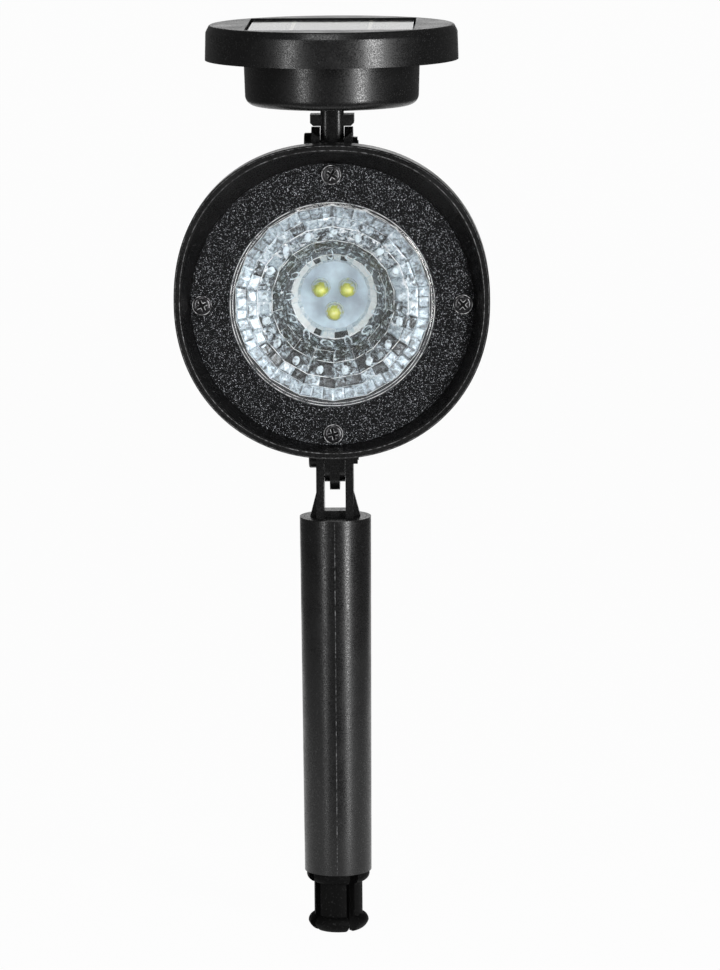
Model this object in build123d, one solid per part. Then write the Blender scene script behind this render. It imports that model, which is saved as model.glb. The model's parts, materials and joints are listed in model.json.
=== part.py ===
from build123d import *
import os
from math import cos, pi, sin

# Light projector stake. Millimetres, +Z up, the lamp faces -Y.
# Origin: centre of the pole's lower end, where the snap plug seats.

# ---- clearances ----
SLIP = 0.05          # radial running clearance of pins in bores
SEAT = 0.10          # radial clearance of plates in their pockets
SIDE_GAP = 0.20      # each side of a tongue between two ears

# ---- pole ----
POLE_LEN = 108.6
POLE_TOP_R = 10.7
POLE_END_R = 10.1
POLE_BORE_R = 8.4
CAP_R = POLE_BORE_R + 1.0      # counterbore in the pole's top
CAP_T = 1.6

# ---- snap plug below the pole ----
COLLAR_R = 9.5
COLLAR_T = 3.3
NECK_R = 7.3
NECK_LEN = 10.3
BEAD_R = 9.13
BEAD_LEN = 4.9
PLUG_TIP_R = 5.2
PLUG_BORE_R = 4.2
SPIGOT_LEN = 12.0
SPIGOT_WALL = 2.45
SLIT_W = 2.8
SLIT_TURN = 32.0     # degrees from the front

# ---- pivots ----
BOLT_R = 1.25
BOLT_HEAD_R = 3.5
BOLT_HEAD_T = 2.2
BOLT_HEAD_ROUND = 0.5
BOLT_DRIVE_R = 1.7        # blind socket in the head
BOLT_DRIVE_DEPTH = 1.1
BOLT_END = 0.3            # threaded end beyond the nut
NUT_R = BOLT_R + 1.3
NUT_T = 1.3

# ---- lower joint ----
YOKE_GAP = 6.43
YOKE_EAR_T = 2.32
YOKE_TIP_R = 4.6
YOKE_BASE_HALF = 5.6
YOKE_RISE = 18.15    # pole top to pivot
CROSSBAR_H = 2.0
CROSSBAR_D = 6.0
GUSSET_OUT = 2.0
GUSSET_H = 7.7
GUSSET_T = 2.0
TONGUE_DROP = 7.7         # the tongue's end below the pivot
TONGUE_RIB_DROP = 10.15   # its middle rib reaches further
TONGUE_RIB_W = 2.93
TONGUE_TIP_R = 5.0

# ---- lamp head ----
RIM_LIFT = 1.3            # the rim sits this much above the lens axis
RIM_HALF = 46.55
LOW_PIVOT_OUT = 0.85      # lower pivot, out from the rim's half width
TOP_PIVOT_IN = 0.48       # upper pivot, in from the rim's half width
RIM_DEPTH = 8.0
RIM_WALL = 2.0
RIM_EDGE = 0.45           # bevel on both edges of the rim's front face
HOOD_POWER = 2.2          # squareness of the rim's upper half
CHIN_POWER = 2.1          # squareness of its lower half
RECESS = 6.0              # rim front to bezel front
FACE_Y = -14.0            # bezel front
BEZEL_R = 41.8
BEZEL_T = 2.0
LEDGE_W = 2.2
BUCKET_FRONT_R = RIM_HALF - 2.05
BUCKET_BACK_R = 33.0
BUCKET_END_R = 22.0
BUCKET_LEN = 21.0         # bezel back to where the tail begins
TAIL_LEN = 8.0
BUCKET_WALL = 2.0
SCREW_IN = 3.3            # screw centre, in from the bezel's edge
SCREW_PCD = 2 * (BEZEL_R - SCREW_IN)
SCREW_COUNT = 4
SCREW_R = 1.4
SCREW_HEAD_R = 3.0
SCREW_HEAD_T = 1.2
SCREW_LEN = 8.0
SCREW_CROSS = 3.0
BOSS_R = 3.2
BOSS_LEN = 11.0

# ---- upper joint ----
STEM_W = 6.9
STEM_D = 6.9
STEM_ROUND = 2.2
KNUCKLE_R = STEM_D / 2     # the stem's round end about the pivot
FORK_EAR_T = 2.5
FORK_TIP_R = 5.3
FORK_BASE_HALF = 6.0
WEB_Y0 = -6.8
WEB_Y1 = -5.6
WEB_OUT_RISE = 4.1
WEB_IN_RISE = 2.5

# ---- optics ----
LENS_R = 30.45
LENS_T = 2.5
LENS_SET = 0.3
LENS_BEVEL = 1.2
FLANGE_R = LENS_R + 2.55
LENS_FLANGE_T = 1.5
LENS_SEAL_T = 0.8
REFLECTOR_R = LENS_R - 2.05
REFLECTOR_T = 1.2
THROAT_R = 12.2
THROAT_DEPTH = 14.9       # reflector flange to throat
CUP_R = 9.6
CUP_DEPTH = 3.4
SHELF_T = 2.0
BOARD_T = 1.6
LED_COUNT = 3
LED_PITCH_R = 4.45
LED_R = 2.45
LED_BASE_R = 2.9
LED_BASE_T = 1.0
LED_H = 7.0
BOARD_SCREW_PITCH_R = THROAT_R + 3.0
BOARD_R = BOARD_SCREW_PITCH_R + 2.4
BOARD_SCREW_R = 1.0
BOARD_SCREW_HEAD_R = 1.8
BOARD_SCREW_HEAD_T = 1.2
BOARD_POST_R = 2.6

# ---- solar head ----
SHOULDER_W = 13.0
SHOULDER_D = 6.4
SHOULDER_H = 3.35
SHOULDER_RISE = 5.7       # upper pivot to the shoulder's lower face
SHOULDER_CUT = 0.9
CAN_RISE = 11.9           # upper pivot to the can's lower face
CAN_END_R = 25.65
CAN_TOP_R = CAN_END_R + 0.4
CAN_H = 13.45
CAN_ROUND = 3.0
CAN_WALL = 1.8
CAN_FLOOR = 2.0
FLANGE_T = 2.6
COVER_R = 37.5
COVER_WALL = 1.8
COVER_TOP_R = COVER_R - 1.35
COVER_CHAMFER_H = 2.1
COVER_DRAFT = 0.25
COVER_TOP_ROUND = 0.8
COVER_EDGE_ROUND = 1.2
COVER_H = 10.3
COVER_TOP_T = 3.2
PANEL_SEAL_R = COVER_R - COVER_WALL - 2.1
PANEL_SEAL_T = 1.2
CELL = 47.8
WINDOW = CELL + 1.8
WINDOW_DEPTH = 2.0
CELL_T = 0.5
CELL_GLASS = CELL + 0.4
CELL_GLASS_T = 0.85
COVER_SCREW_PITCH_R = (CAN_TOP_R + COVER_R - COVER_WALL) / 2
COVER_SCREW_HEAD_R = 2.5
COVER_SCREW_HEAD_T = 1.4
COVER_SCREW_R = 1.1
COVER_SCREW_LEN = 5.0
COVER_POST_R = 2.6
WIRE_SLOT_W = 6.0
WIRE_SLOT_D = 3.0
WIRE_SLOT_Y = 14.0

# ---- inside the can ----
BATTERY_R = 5.05
BATTERY_LEN = 29.0
BATTERY_SPACING = 2 * BATTERY_R + 0.7
BATTERY_LIFT = 0.05
CONTACT_T = 0.5
CONTACT_W = BATTERY_SPACING + 9.2
CONTACT_H = 9.0
RIB_T = 1.5
RIB_H = 6.0
CHARGE_BOARD_X = 44.0
CHARGE_BOARD_Y = 15.0
CHARGE_BOARD_T = 1.4
CHARGE_BOARD_LIFT = 12.0
CHARGE_POST_X = BATTERY_LEN / 2 + 5.1
CHARGE_POST_R = 2.0
BOARD_PIN_R = 0.9         # screws of the charge board
BUTTON_Y = CONTACT_W / 2 + 7.0
BUTTON_R = 3.0
BUTTON_OUT = 1.8
BUTTON_TRAVEL = 1.2
BUTTON_RIM_R = 3.6
BUTTON_RIM_T = 0.9
BUTTON_PIN_R = 1.2
BUTTON_PIN_LEN = 2.6
SWITCH_W = 10.0
SWITCH_D = 7.0
SWITCH_H = 3.8
RAIL_T = 1.1

# ---- places worked out from the sizes ----
pivot_low_z = POLE_LEN + YOKE_RISE
axis_z = pivot_low_z + RIM_HALF + LOW_PIVOT_OUT
rim_z = axis_z + RIM_LIFT
pivot_top_z = axis_z + RIM_HALF - TOP_PIVOT_IN
can_z = pivot_top_z + CAN_RISE
cover_z = can_z + CAN_H
cover_top_z = cover_z + COVER_H
ceiling_z = cover_top_z - COVER_TOP_T
floor_z = can_z + CAN_FLOOR
flange_top_z = cover_z + FLANGE_T
step_z = flange_top_z + PANEL_SEAL_T
window_z = cover_top_z - WINDOW_DEPTH
can_in_r = CAN_END_R - CAN_WALL
cover_in_r = COVER_R - COVER_WALL

rim_front_y = FACE_Y - RECESS
bezel_back_y = FACE_Y + BEZEL_T
band_back_y = rim_front_y + RIM_DEPTH
lens_back_y = bezel_back_y + LENS_FLANGE_T
seal_back_y = lens_back_y + LENS_SEAL_T
reflector_back_y = seal_back_y + REFLECTOR_T
throat_y = seal_back_y + THROAT_DEPTH
cup_y = throat_y + CUP_DEPTH
board_y = cup_y + SEAT
board_back_y = board_y + BOARD_T
tail_y = bezel_back_y + BUCKET_LEN
back_y = tail_y + TAIL_LEN
bucket_in_y = back_y - BUCKET_WALL

yoke_in_x = YOKE_GAP / 2
yoke_out_x = yoke_in_x + YOKE_EAR_T
tongue_half = yoke_in_x - SIDE_GAP
stem_half = STEM_W / 2
fork_in_x = stem_half + SIDE_GAP
fork_out_x = fork_in_x + FORK_EAR_T


# ---- shape helpers ----
def block(x0, x1, y0, y1, z0, z1):
    """Box between two corners."""
    middle = Pos((x0 + x1) / 2, (y0 + y1) / 2, (z0 + z1) / 2)
    return middle * Box(abs(x1 - x0), abs(y1 - y0), abs(z1 - z0))


def along_x(radius, x0, x1, y=0, z=0):
    """Cylinder along X."""
    return Pos((x0 + x1) / 2, y, z) * Rot(0, 90, 0) * Cylinder(radius, abs(x1 - x0))


def along_y(radius, y0, y1, x=0, z=0):
    """Cylinder along Y."""
    return Pos(x, (y0 + y1) / 2, z) * Rot(90, 0, 0) * Cylinder(radius, abs(y1 - y0))


def along_z(radius, z0, z1, x=0, y=0):
    """Cylinder along Z."""
    return Pos(x, y, (z0 + z1) / 2) * Cylinder(radius, abs(z1 - z0))


def turned_z(points):
    """Solid of revolution about Z from (radius, z) points."""
    outline = Polyline(*[(r, 0, z) for r, z in points], close=True)
    return revolve(make_face(outline), Axis.Z, 360)


def turned_lamp(points, centre_z=None):
    """Solid of revolution about the lens axis from (radius, y) points."""
    outline = Polyline(*[(r, y, 0) for r, y in points], close=True)
    body = revolve(make_face(outline), Axis.Y, 360)
    return Pos(0, 0, axis_z if centre_z is None else centre_z) * body


def round_places(count, radius, start=0.0):
    """Points (a, b) spaced evenly on a circle."""
    steps = [start + 2 * pi * i / count for i in range(count)]
    return [(radius * sin(a), radius * cos(a)) for a in steps]


def ear(x0, x1, base_z, pivot_z, base_half, tip_r):
    """Plate from a base up or down to a round end about a pivot."""
    leg = Polyline(
        (0, -base_half, base_z), (0, base_half, base_z),
        (0, tip_r, pivot_z), (0, -tip_r, pivot_z), close=True,
    )
    plate = extrude(make_face(leg), amount=x1 - x0, dir=(1, 0, 0))
    return Pos(x0, 0, 0) * plate + along_x(tip_r, x0, x1, 0, pivot_z)


def rim_outline(inset, y):
    """Closed outline of the rim at one depth: round, squarer above than below."""
    half = RIM_HALF - inset
    points = []
    steps = 48
    for i in range(steps):
        a = 2 * pi * i / steps
        power = HOOD_POWER if sin(a) > 0 else CHIN_POWER
        reach = half * (abs(cos(a)) ** power + abs(sin(a)) ** power) ** (-1 / power)
        points.append((reach * cos(a), y, rim_z + reach * sin(a)))
    return Wire([Edge.make_spline([Vector(*p) for p in points], periodic=True)])


# ---- pole ----
def make_pole_tube():
    body = turned_z([
        (POLE_BORE_R, 0), (POLE_END_R, 0), (POLE_TOP_R, POLE_LEN),
        (CAP_R, POLE_LEN), (CAP_R, POLE_LEN - CAP_T), (POLE_BORE_R, POLE_LEN - CAP_T),
    ])
    return body


def make_pole_yoke():
    cap = along_z(CAP_R - SEAT, POLE_LEN - CAP_T, POLE_LEN)
    spigot = along_z(POLE_BORE_R - SLIP, POLE_LEN - CAP_T - SPIGOT_LEN, POLE_LEN - CAP_T)
    spigot -= along_z(POLE_BORE_R - SPIGOT_WALL, POLE_LEN - CAP_T - SPIGOT_LEN, POLE_LEN - CAP_T)
    body = cap + spigot
    for side in (-1, 1):
        x0 = min(side * yoke_in_x, side * yoke_out_x)
        body += ear(x0, x0 + YOKE_EAR_T, POLE_LEN, pivot_low_z, YOKE_BASE_HALF, YOKE_TIP_R)
        rib = Polyline(
            (side * yoke_out_x, 0, POLE_LEN),
            (side * (yoke_out_x + GUSSET_OUT), 0, POLE_LEN),
            (side * yoke_out_x, 0, POLE_LEN + GUSSET_H), close=True,
        )
        body += Pos(0, GUSSET_T / 2, 0) * extrude(
            make_face(rib), amount=GUSSET_T, dir=(0, -1, 0))
    body += block(-yoke_in_x, yoke_in_x, -CROSSBAR_D / 2, CROSSBAR_D / 2,
                  POLE_LEN, POLE_LEN + CROSSBAR_H)
    return body - along_x(BOLT_R + SLIP, -yoke_out_x - 1, yoke_out_x + 1, 0, pivot_low_z)


def make_snap_plug():
    neck_z = -COLLAR_T - NECK_LEN
    tip_z = neck_z - BEAD_LEN
    crown_z = neck_z - 2.2
    outline = [
        Line((PLUG_BORE_R, 0, SPIGOT_LEN), (POLE_BORE_R - SLIP, 0, SPIGOT_LEN)),
        Line((POLE_BORE_R - SLIP, 0, SPIGOT_LEN), (POLE_BORE_R - SLIP, 0, 0)),
        Line((POLE_BORE_R - SLIP, 0, 0), (COLLAR_R, 0, 0)),
        Line((COLLAR_R, 0, 0), (COLLAR_R, 0, -COLLAR_T * 0.45)),
        ThreePointArc((COLLAR_R, 0, -COLLAR_T * 0.45),
                      (COLLAR_R - 0.6, 0, -COLLAR_T * 0.8),
                      (NECK_R + 0.4, 0, -COLLAR_T)),
        Line((NECK_R + 0.4, 0, -COLLAR_T), (NECK_R, 0, -COLLAR_T)),
        Line((NECK_R, 0, -COLLAR_T), (NECK_R, 0, neck_z)),
        ThreePointArc((NECK_R, 0, neck_z), (BEAD_R - 0.45, 0, neck_z - 0.9),
                      (BEAD_R, 0, crown_z)),
        ThreePointArc((BEAD_R, 0, crown_z), (BEAD_R - 1.05, 0, tip_z + 1.0),
                      (PLUG_TIP_R, 0, tip_z)),
        Line((PLUG_TIP_R, 0, tip_z), (PLUG_BORE_R, 0, tip_z)),
        Line((PLUG_BORE_R, 0, tip_z), (PLUG_BORE_R, 0, SPIGOT_LEN)),
    ]
    body = revolve(make_face(Wire([e for line in outline for e in line.edges()])), Axis.Z, 360)
    for quarter in (0, 90):
        slit = block(-SLIT_W / 2, SLIT_W / 2, -BEAD_R - 1, BEAD_R + 1, tip_z - 1, 0.6)
        body -= Rot(0, 0, SLIT_TURN + quarter) * slit
    return body


def make_bolt(half_width, z):
    """Cross bolt: head on the left, threaded end on the right."""
    head = along_x(BOLT_HEAD_R, -half_width - BOLT_HEAD_T, -half_width, 0, z)
    head = fillet(head.edges().group_by(Axis.X)[0], BOLT_HEAD_ROUND)
    face_x = -half_width - BOLT_HEAD_T
    drive = along_x(BOLT_DRIVE_R, face_x, face_x + BOLT_DRIVE_DEPTH, 0, z)
    end_x = half_width + NUT_T + BOLT_END
    return head - drive + along_x(BOLT_R, -half_width - 0.2, end_x, 0, z)


def make_nut(half_width, z):
    body = Pos(half_width, 0, z) * extrude(
        Plane.YZ * RegularPolygon(NUT_R, 6), amount=NUT_T)
    return body - along_x(BOLT_R + 0.01, half_width - 1, half_width + NUT_T + 1, 0, z)


# ---- lamp head ----
def make_lamp_housing():
    band = Solid.extrude(Face(rim_outline(0, rim_front_y + RIM_EDGE)),
                         Vector(0, RIM_DEPTH - RIM_EDGE, 0))
    band += Solid.make_loft([rim_outline(RIM_EDGE, rim_front_y),
                             rim_outline(0, rim_front_y + RIM_EDGE)])
    bucket = turned_lamp([
        (0, rim_front_y + 1), (BUCKET_FRONT_R, rim_front_y + 1), (BUCKET_FRONT_R, bezel_back_y),
        (BUCKET_BACK_R, tail_y), (BUCKET_BACK_R - 3.5, tail_y + TAIL_LEN * 0.45),
        (BUCKET_END_R, back_y), (0, back_y),
    ])
    body = band + bucket
    # fork above, with two webs in front of its ears
    for side in (-1, 1):
        x0 = min(side * fork_in_x, side * fork_out_x)
        body += ear(x0, x0 + FORK_EAR_T, axis_z + BUCKET_BACK_R - 2, pivot_top_z,
                    FORK_BASE_HALF, FORK_TIP_R)
        web = Polyline(
            (side * fork_in_x, WEB_Y0, axis_z + BUCKET_BACK_R),
            (side * fork_out_x, WEB_Y0, axis_z + BUCKET_BACK_R),
            (side * fork_out_x, WEB_Y0, pivot_top_z + WEB_OUT_RISE * 0.6),
            (side * (fork_out_x - 0.3), WEB_Y0, pivot_top_z + WEB_OUT_RISE),
            (side * fork_in_x, WEB_Y0, pivot_top_z + WEB_IN_RISE), close=True,
        )
        body += extrude(make_face(web), amount=-WEB_Y0 - 3.5, dir=(0, 1, 0)) - along_x(
            FORK_TIP_R, -fork_out_x - 1, fork_out_x + 1, 0, pivot_top_z)
    # tongue below, with a longer rib in its middle
    root_z = axis_z - BUCKET_BACK_R + 2
    for half, drop in ((tongue_half, TONGUE_DROP), (TONGUE_RIB_W / 2, TONGUE_RIB_DROP)):
        body += ear(-half, half, root_z, pivot_low_z - drop + TONGUE_TIP_R,
                    FORK_BASE_HALF, TONGUE_TIP_R)
    # recess in front of the bezel, the bezel's pocket and the room inside
    lip = rim_outline(RIM_WALL, rim_front_y)
    seat = Wire([Edge.make_circle(BEZEL_R + SEAT, Plane(
        origin=(0, FACE_Y, axis_z), x_dir=(1, 0, 0), z_dir=(0, -1, 0)))])
    body -= Solid.make_loft([lip, seat])
    body -= Solid.make_loft([rim_outline(RIM_WALL - RIM_EDGE, rim_front_y),
                             rim_outline(RIM_WALL, rim_front_y + RIM_EDGE)])
    body -= along_y(BEZEL_R + SEAT, FACE_Y, bezel_back_y, 0, axis_z)
    shelf_r = BEZEL_R - LEDGE_W
    room = turned_lamp([
        (0, bezel_back_y), (shelf_r, bezel_back_y), (shelf_r, bezel_back_y + 3),
        (BUCKET_BACK_R - BUCKET_WALL, tail_y), (BUCKET_BACK_R - 5.7, tail_y + TAIL_LEN * 0.4),
        (BUCKET_END_R - 1.5, bucket_in_y), (0, bucket_in_y),
    ])
    shelf = turned_lamp([
        (FLANGE_R - 2.5, reflector_back_y), (shelf_r + 1, reflector_back_y),
        (shelf_r + 1, reflector_back_y + SHELF_T), (FLANGE_R - 2.5, reflector_back_y + SHELF_T),
    ])
    room -= shelf
    for x, z in round_places(SCREW_COUNT, SCREW_PCD / 2):
        room -= along_y(BOSS_R, bezel_back_y, bezel_back_y + BOSS_LEN, x, axis_z + z)
    for x, z in round_places(LED_COUNT, BOARD_SCREW_PITCH_R):
        room -= along_y(BOARD_POST_R, board_back_y, bucket_in_y, x, axis_z + z)
    body -= room
    for x, z in round_places(SCREW_COUNT, SCREW_PCD / 2):
        body -= along_y(SCREW_R + 0.02, bezel_back_y, bezel_back_y + SCREW_LEN, x, axis_z + z)
    for x, z in round_places(LED_COUNT, BOARD_SCREW_PITCH_R):
        body -= along_y(BOARD_SCREW_R + 0.02, board_back_y, bucket_in_y - 0.5, x, axis_z + z)
    body -= along_x(BOLT_R + SLIP, -fork_out_x - 1, fork_out_x + 1, 0, pivot_top_z)
    return body - along_x(BOLT_R + SLIP, -tongue_half - 1, tongue_half + 1, 0, pivot_low_z)


def make_bezel_plate():
    plate = along_y(BEZEL_R, FACE_Y, bezel_back_y, 0, axis_z)
    plate -= along_y(LENS_R + 0.15, FACE_Y - 1, bezel_back_y + 1, 0, axis_z)
    for x, z in round_places(SCREW_COUNT, SCREW_PCD / 2):
        plate -= along_y(SCREW_R + SEAT, FACE_Y - 1, bezel_back_y + 1, x, axis_z + z)
    return plate


def make_cross_screw(radius, head_r, head_t, length, cross):
    """Pan-head screw: head above z 0, thread below it."""
    head = Pos(0, 0, head_t / 2) * Cylinder(head_r, head_t)
    head = fillet(head.edges().group_by(Axis.Z)[-1], head_t * 0.6)
    recess = Pos(0, 0, head_t) * (Box(cross, cross / 4, head_t) + Box(cross / 4, cross, head_t))
    return head - recess + Pos(0, 0, -length / 2 + 0.1) * Cylinder(radius, length + 0.2)


def make_bezel_screws():
    screw = make_cross_screw(SCREW_R, SCREW_HEAD_R, SCREW_HEAD_T, SCREW_LEN, SCREW_CROSS)
    return [Pos(x, FACE_Y, axis_z + z) * Rot(90, 0, 0) * screw
            for x, z in round_places(SCREW_COUNT, SCREW_PCD / 2)]


def make_lens():
    front_y = FACE_Y + LENS_SET
    return turned_lamp([
        (0, front_y), (LENS_R - LENS_BEVEL, front_y), (LENS_R, front_y + LENS_BEVEL * 0.5),
        (LENS_R, bezel_back_y), (FLANGE_R, bezel_back_y), (FLANGE_R, lens_back_y),
        (REFLECTOR_R, lens_back_y), (REFLECTOR_R, front_y + LENS_T - 0.4),
        (0, front_y + LENS_T - 0.4),
    ])


def make_lens_seal():
    return turned_lamp([
        (FLANGE_R - 2.2, lens_back_y), (FLANGE_R, lens_back_y),
        (FLANGE_R, seal_back_y), (FLANGE_R - 2.2, seal_back_y),
    ])


def make_reflector():
    return turned_lamp([
        (FLANGE_R, seal_back_y), (REFLECTOR_R, seal_back_y), (THROAT_R, throat_y),
        (CUP_R, cup_y), (CUP_R + REFLECTOR_T, cup_y),
        (THROAT_R + REFLECTOR_T * 1.3, throat_y),
        (REFLECTOR_R + REFLECTOR_T * 0.3, reflector_back_y), (FLANGE_R, reflector_back_y),
    ])


def make_led_board():
    board = along_y(BOARD_R, board_y, board_back_y, 0, axis_z)
    for x, z in round_places(LED_COUNT, BOARD_SCREW_PITCH_R):
        board -= along_y(BOARD_SCREW_R + SEAT, board_y - 1, board_back_y + 1, x, axis_z + z)
    return board


def make_leds():
    lamps = []
    for x, z in round_places(LED_COUNT, LED_PITCH_R, pi):
        top = board_y - LED_H
        body = along_y(LED_BASE_R, board_y - LED_BASE_T, board_y, x, axis_z + z)
        body += along_y(LED_R, top + LED_R, board_y, x, axis_z + z)
        body += Pos(x, top + LED_R, axis_z + z) * Sphere(LED_R)
        lamps.append(body)
    return lamps


def make_resistors():
    return [block(x - 1.6, x + 1.6, board_back_y, board_back_y + 0.6, axis_z - 0.8, axis_z + 0.8)
            for x in (-5.0, 0.0, 5.0)]


def make_led_board_screws():
    screw = make_cross_screw(BOARD_SCREW_R, BOARD_SCREW_HEAD_R, BOARD_SCREW_HEAD_T,
                             BOARD_T + 2.5, 1.8)
    return [Pos(x, board_y, axis_z + z) * Rot(90, 0, 0) * screw
            for x, z in round_places(LED_COUNT, BOARD_SCREW_PITCH_R)]


# ---- solar head ----
def make_panel_cover():
    body = turned_z([
        (0, cover_z), (COVER_R, cover_z),
        (COVER_R - COVER_DRAFT, cover_top_z - COVER_CHAMFER_H),
        (COVER_TOP_R, cover_top_z), (0, cover_top_z),
    ])
    circles = body.edges().filter_by(GeomType.CIRCLE).group_by(Axis.Z)
    body = fillet(circles[-2], COVER_EDGE_ROUND)
    circles = body.edges().filter_by(GeomType.CIRCLE).group_by(Axis.Z)
    body = fillet(circles[-1], COVER_TOP_ROUND)
    body -= along_z(cover_in_r, cover_z, step_z)
    body -= along_z(PANEL_SEAL_R - 1, step_z, ceiling_z)
    for x, y in round_places(4, COVER_SCREW_PITCH_R, pi / 4):
        body += along_z(COVER_POST_R, flange_top_z, ceiling_z + 0.5, x, y)
        body -= along_z(COVER_SCREW_R + 0.02, flange_top_z, flange_top_z + COVER_SCREW_LEN, x, y)
    half = WINDOW / 2
    body += block(-half - 2, half + 2, -half + 6, half - 6, window_z - 1.2, ceiling_z + 0.5)
    body -= block(-half, half, -half, half, window_z, cover_top_z + 1)
    return body - block(-WIRE_SLOT_W / 2, WIRE_SLOT_W / 2, WIRE_SLOT_Y,
                        WIRE_SLOT_Y + WIRE_SLOT_D, window_z - 3, window_z + 1)


def make_solar_cell():
    half = CELL / 2
    return block(-half, half, -half, half, window_z, window_z + CELL_T)


def make_cell_window():
    half = CELL_GLASS / 2
    return block(-half, half, -half, half, window_z + CELL_T, window_z + CELL_T + CELL_GLASS_T)


def make_panel_seal():
    return turned_z([
        (PANEL_SEAL_R, flange_top_z), (cover_in_r - SEAT, flange_top_z),
        (cover_in_r - SEAT, step_z), (PANEL_SEAL_R, step_z),
    ])


def make_battery_can():
    body = turned_z([
        (0, can_z), (CAN_END_R, can_z), (CAN_TOP_R, cover_z), (cover_in_r - SEAT, cover_z),
        (cover_in_r - SEAT, flange_top_z), (0, flange_top_z),
    ])
    bottom = body.edges().filter_by(GeomType.CIRCLE).group_by(Axis.Z)[0]
    body = fillet(bottom, CAN_ROUND)
    body -= along_z(can_in_r, floor_z, flange_top_z + 1)
    # stem, shoulder and knuckle below
    stem = extrude(Plane.XY * RectangleRounded(STEM_W, STEM_D, STEM_ROUND), amount=CAN_RISE + 0.5)
    body += Pos(0, 0, pivot_top_z) * stem
    body += along_x(KNUCKLE_R, -stem_half, stem_half, 0, pivot_top_z)
    low = pivot_top_z + SHOULDER_RISE
    half = SHOULDER_W / 2
    shoulder = Polyline(
        (-half, 0, low + SHOULDER_CUT), (-half, 0, low + SHOULDER_H), (half, 0, low + SHOULDER_H),
        (half, 0, low + SHOULDER_CUT), (half - SHOULDER_CUT, 0, low),
        (-half + SHOULDER_CUT, 0, low), close=True,
    )
    body += Pos(0, SHOULDER_D / 2 + 0.6, 0) * extrude(
        make_face(shoulder), amount=SHOULDER_D, dir=(0, -1, 0))
    body -= along_x(BOLT_R + SLIP, -stem_half - 1, stem_half + 1, 0, pivot_top_z)
    # battery ribs, board posts, switch rails
    rib_x = BATTERY_LEN / 2 + SEAT + CONTACT_T + SEAT
    for side in (-1, 1):
        body += block(side * rib_x, side * (rib_x + RIB_T), -CONTACT_W / 2, CONTACT_W / 2,
                      floor_z, floor_z + RIB_H)
        post_x = side * CHARGE_POST_X
        body += along_z(CHARGE_POST_R, floor_z, floor_z + CHARGE_BOARD_LIFT, post_x, 0)
        body -= along_z(BOARD_PIN_R + 0.02, floor_z + 5, floor_z + CHARGE_BOARD_LIFT, post_x, 0)
        rail_x = SWITCH_W / 2 - RAIL_T
        body += block(side * rail_x, side * (rail_x + RAIL_T),
                      BUTTON_Y - SWITCH_D / 2, BUTTON_Y + SWITCH_D / 2,
                      floor_z, floor_z + BUTTON_RIM_T + BUTTON_TRAVEL + 0.3)
    body -= along_z(BUTTON_R + SLIP, can_z - 1, floor_z + 0.01, 0, BUTTON_Y)
    for x, y in round_places(4, COVER_SCREW_PITCH_R, pi / 4):
        body -= along_z(COVER_SCREW_R + SEAT, cover_z - 1, flange_top_z + 1, x, y)
        body -= along_z(COVER_SCREW_HEAD_R + SEAT, cover_z, cover_z + COVER_SCREW_HEAD_T, x, y)
    return body


def make_cover_screws():
    screw = make_cross_screw(COVER_SCREW_R, COVER_SCREW_HEAD_R, COVER_SCREW_HEAD_T,
                             FLANGE_T - COVER_SCREW_HEAD_T + COVER_SCREW_LEN - 0.4, 2.4)
    return [Pos(x, y, cover_z + COVER_SCREW_HEAD_T) * Rot(180, 0, 0) * screw
            for x, y in round_places(4, COVER_SCREW_PITCH_R, pi / 4)]


def make_battery_cells():
    z = floor_z + BATTERY_LIFT + BATTERY_R
    cells = []
    for side in (-1, 1):
        y = side * BATTERY_SPACING / 2
        half = BATTERY_LEN / 2
        body = along_x(BATTERY_R, -half, half - 1.2, y, z)
        body += along_x(1.9, half - 1.2, half, y, z)
        cells.append(body)
    return cells


def make_battery_contacts():
    x = BATTERY_LEN / 2 + SEAT
    return [block(side * x, side * (x + CONTACT_T), -CONTACT_W / 2, CONTACT_W / 2,
                  floor_z, floor_z + CONTACT_H) for side in (-1, 1)]


def make_charge_board():
    z = floor_z + CHARGE_BOARD_LIFT
    board = block(-CHARGE_BOARD_X / 2, CHARGE_BOARD_X / 2, -CHARGE_BOARD_Y / 2,
                  CHARGE_BOARD_Y / 2, z, z + CHARGE_BOARD_T)
    for side in (-1, 1):
        board -= along_z(1.0, z - 1, z + CHARGE_BOARD_T + 1, side * CHARGE_POST_X, 0)
    return board


def make_charge_parts():
    z = floor_z + CHARGE_BOARD_LIFT + CHARGE_BOARD_T
    return [
        block(-4, 1, -2, 2, z, z + 1.5),
        along_z(2.8, z, z + 3.0, 8, 0),
        along_z(2.0, z, z + 3.2, -9, 2),
        block(-11, -8, -5, -3, z, z + 1.0),
    ]


def make_board_screws():
    screw = make_cross_screw(BOARD_PIN_R, 2 * BOARD_PIN_R, 1.1, CHARGE_BOARD_T + 5.0, 1.8)
    z = floor_z + CHARGE_BOARD_LIFT + CHARGE_BOARD_T
    return [Pos(side * CHARGE_POST_X, 0, z) * screw for side in (-1, 1)]


def make_switch_body():
    z = floor_z + BUTTON_RIM_T + BUTTON_TRAVEL + 0.3
    body = block(-SWITCH_W / 2, SWITCH_W / 2, BUTTON_Y - SWITCH_D / 2,
                 BUTTON_Y + SWITCH_D / 2, z, z + SWITCH_H)
    return body - along_z(BUTTON_PIN_R + SLIP, z - 1, z + SWITCH_H - 0.6, 0, BUTTON_Y)


def make_power_button():
    rim_low = floor_z + 0.1
    cap = along_z(BUTTON_R, can_z - BUTTON_OUT, rim_low, 0, BUTTON_Y)
    cap = fillet(cap.edges().group_by(Axis.Z)[0], 0.5)
    cap += along_z(BUTTON_RIM_R, rim_low, rim_low + BUTTON_RIM_T, 0, BUTTON_Y)
    pin_z = rim_low + BUTTON_RIM_T
    return cap + along_z(BUTTON_PIN_R, pin_z, pin_z + BUTTON_PIN_LEN, 0, BUTTON_Y)


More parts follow.
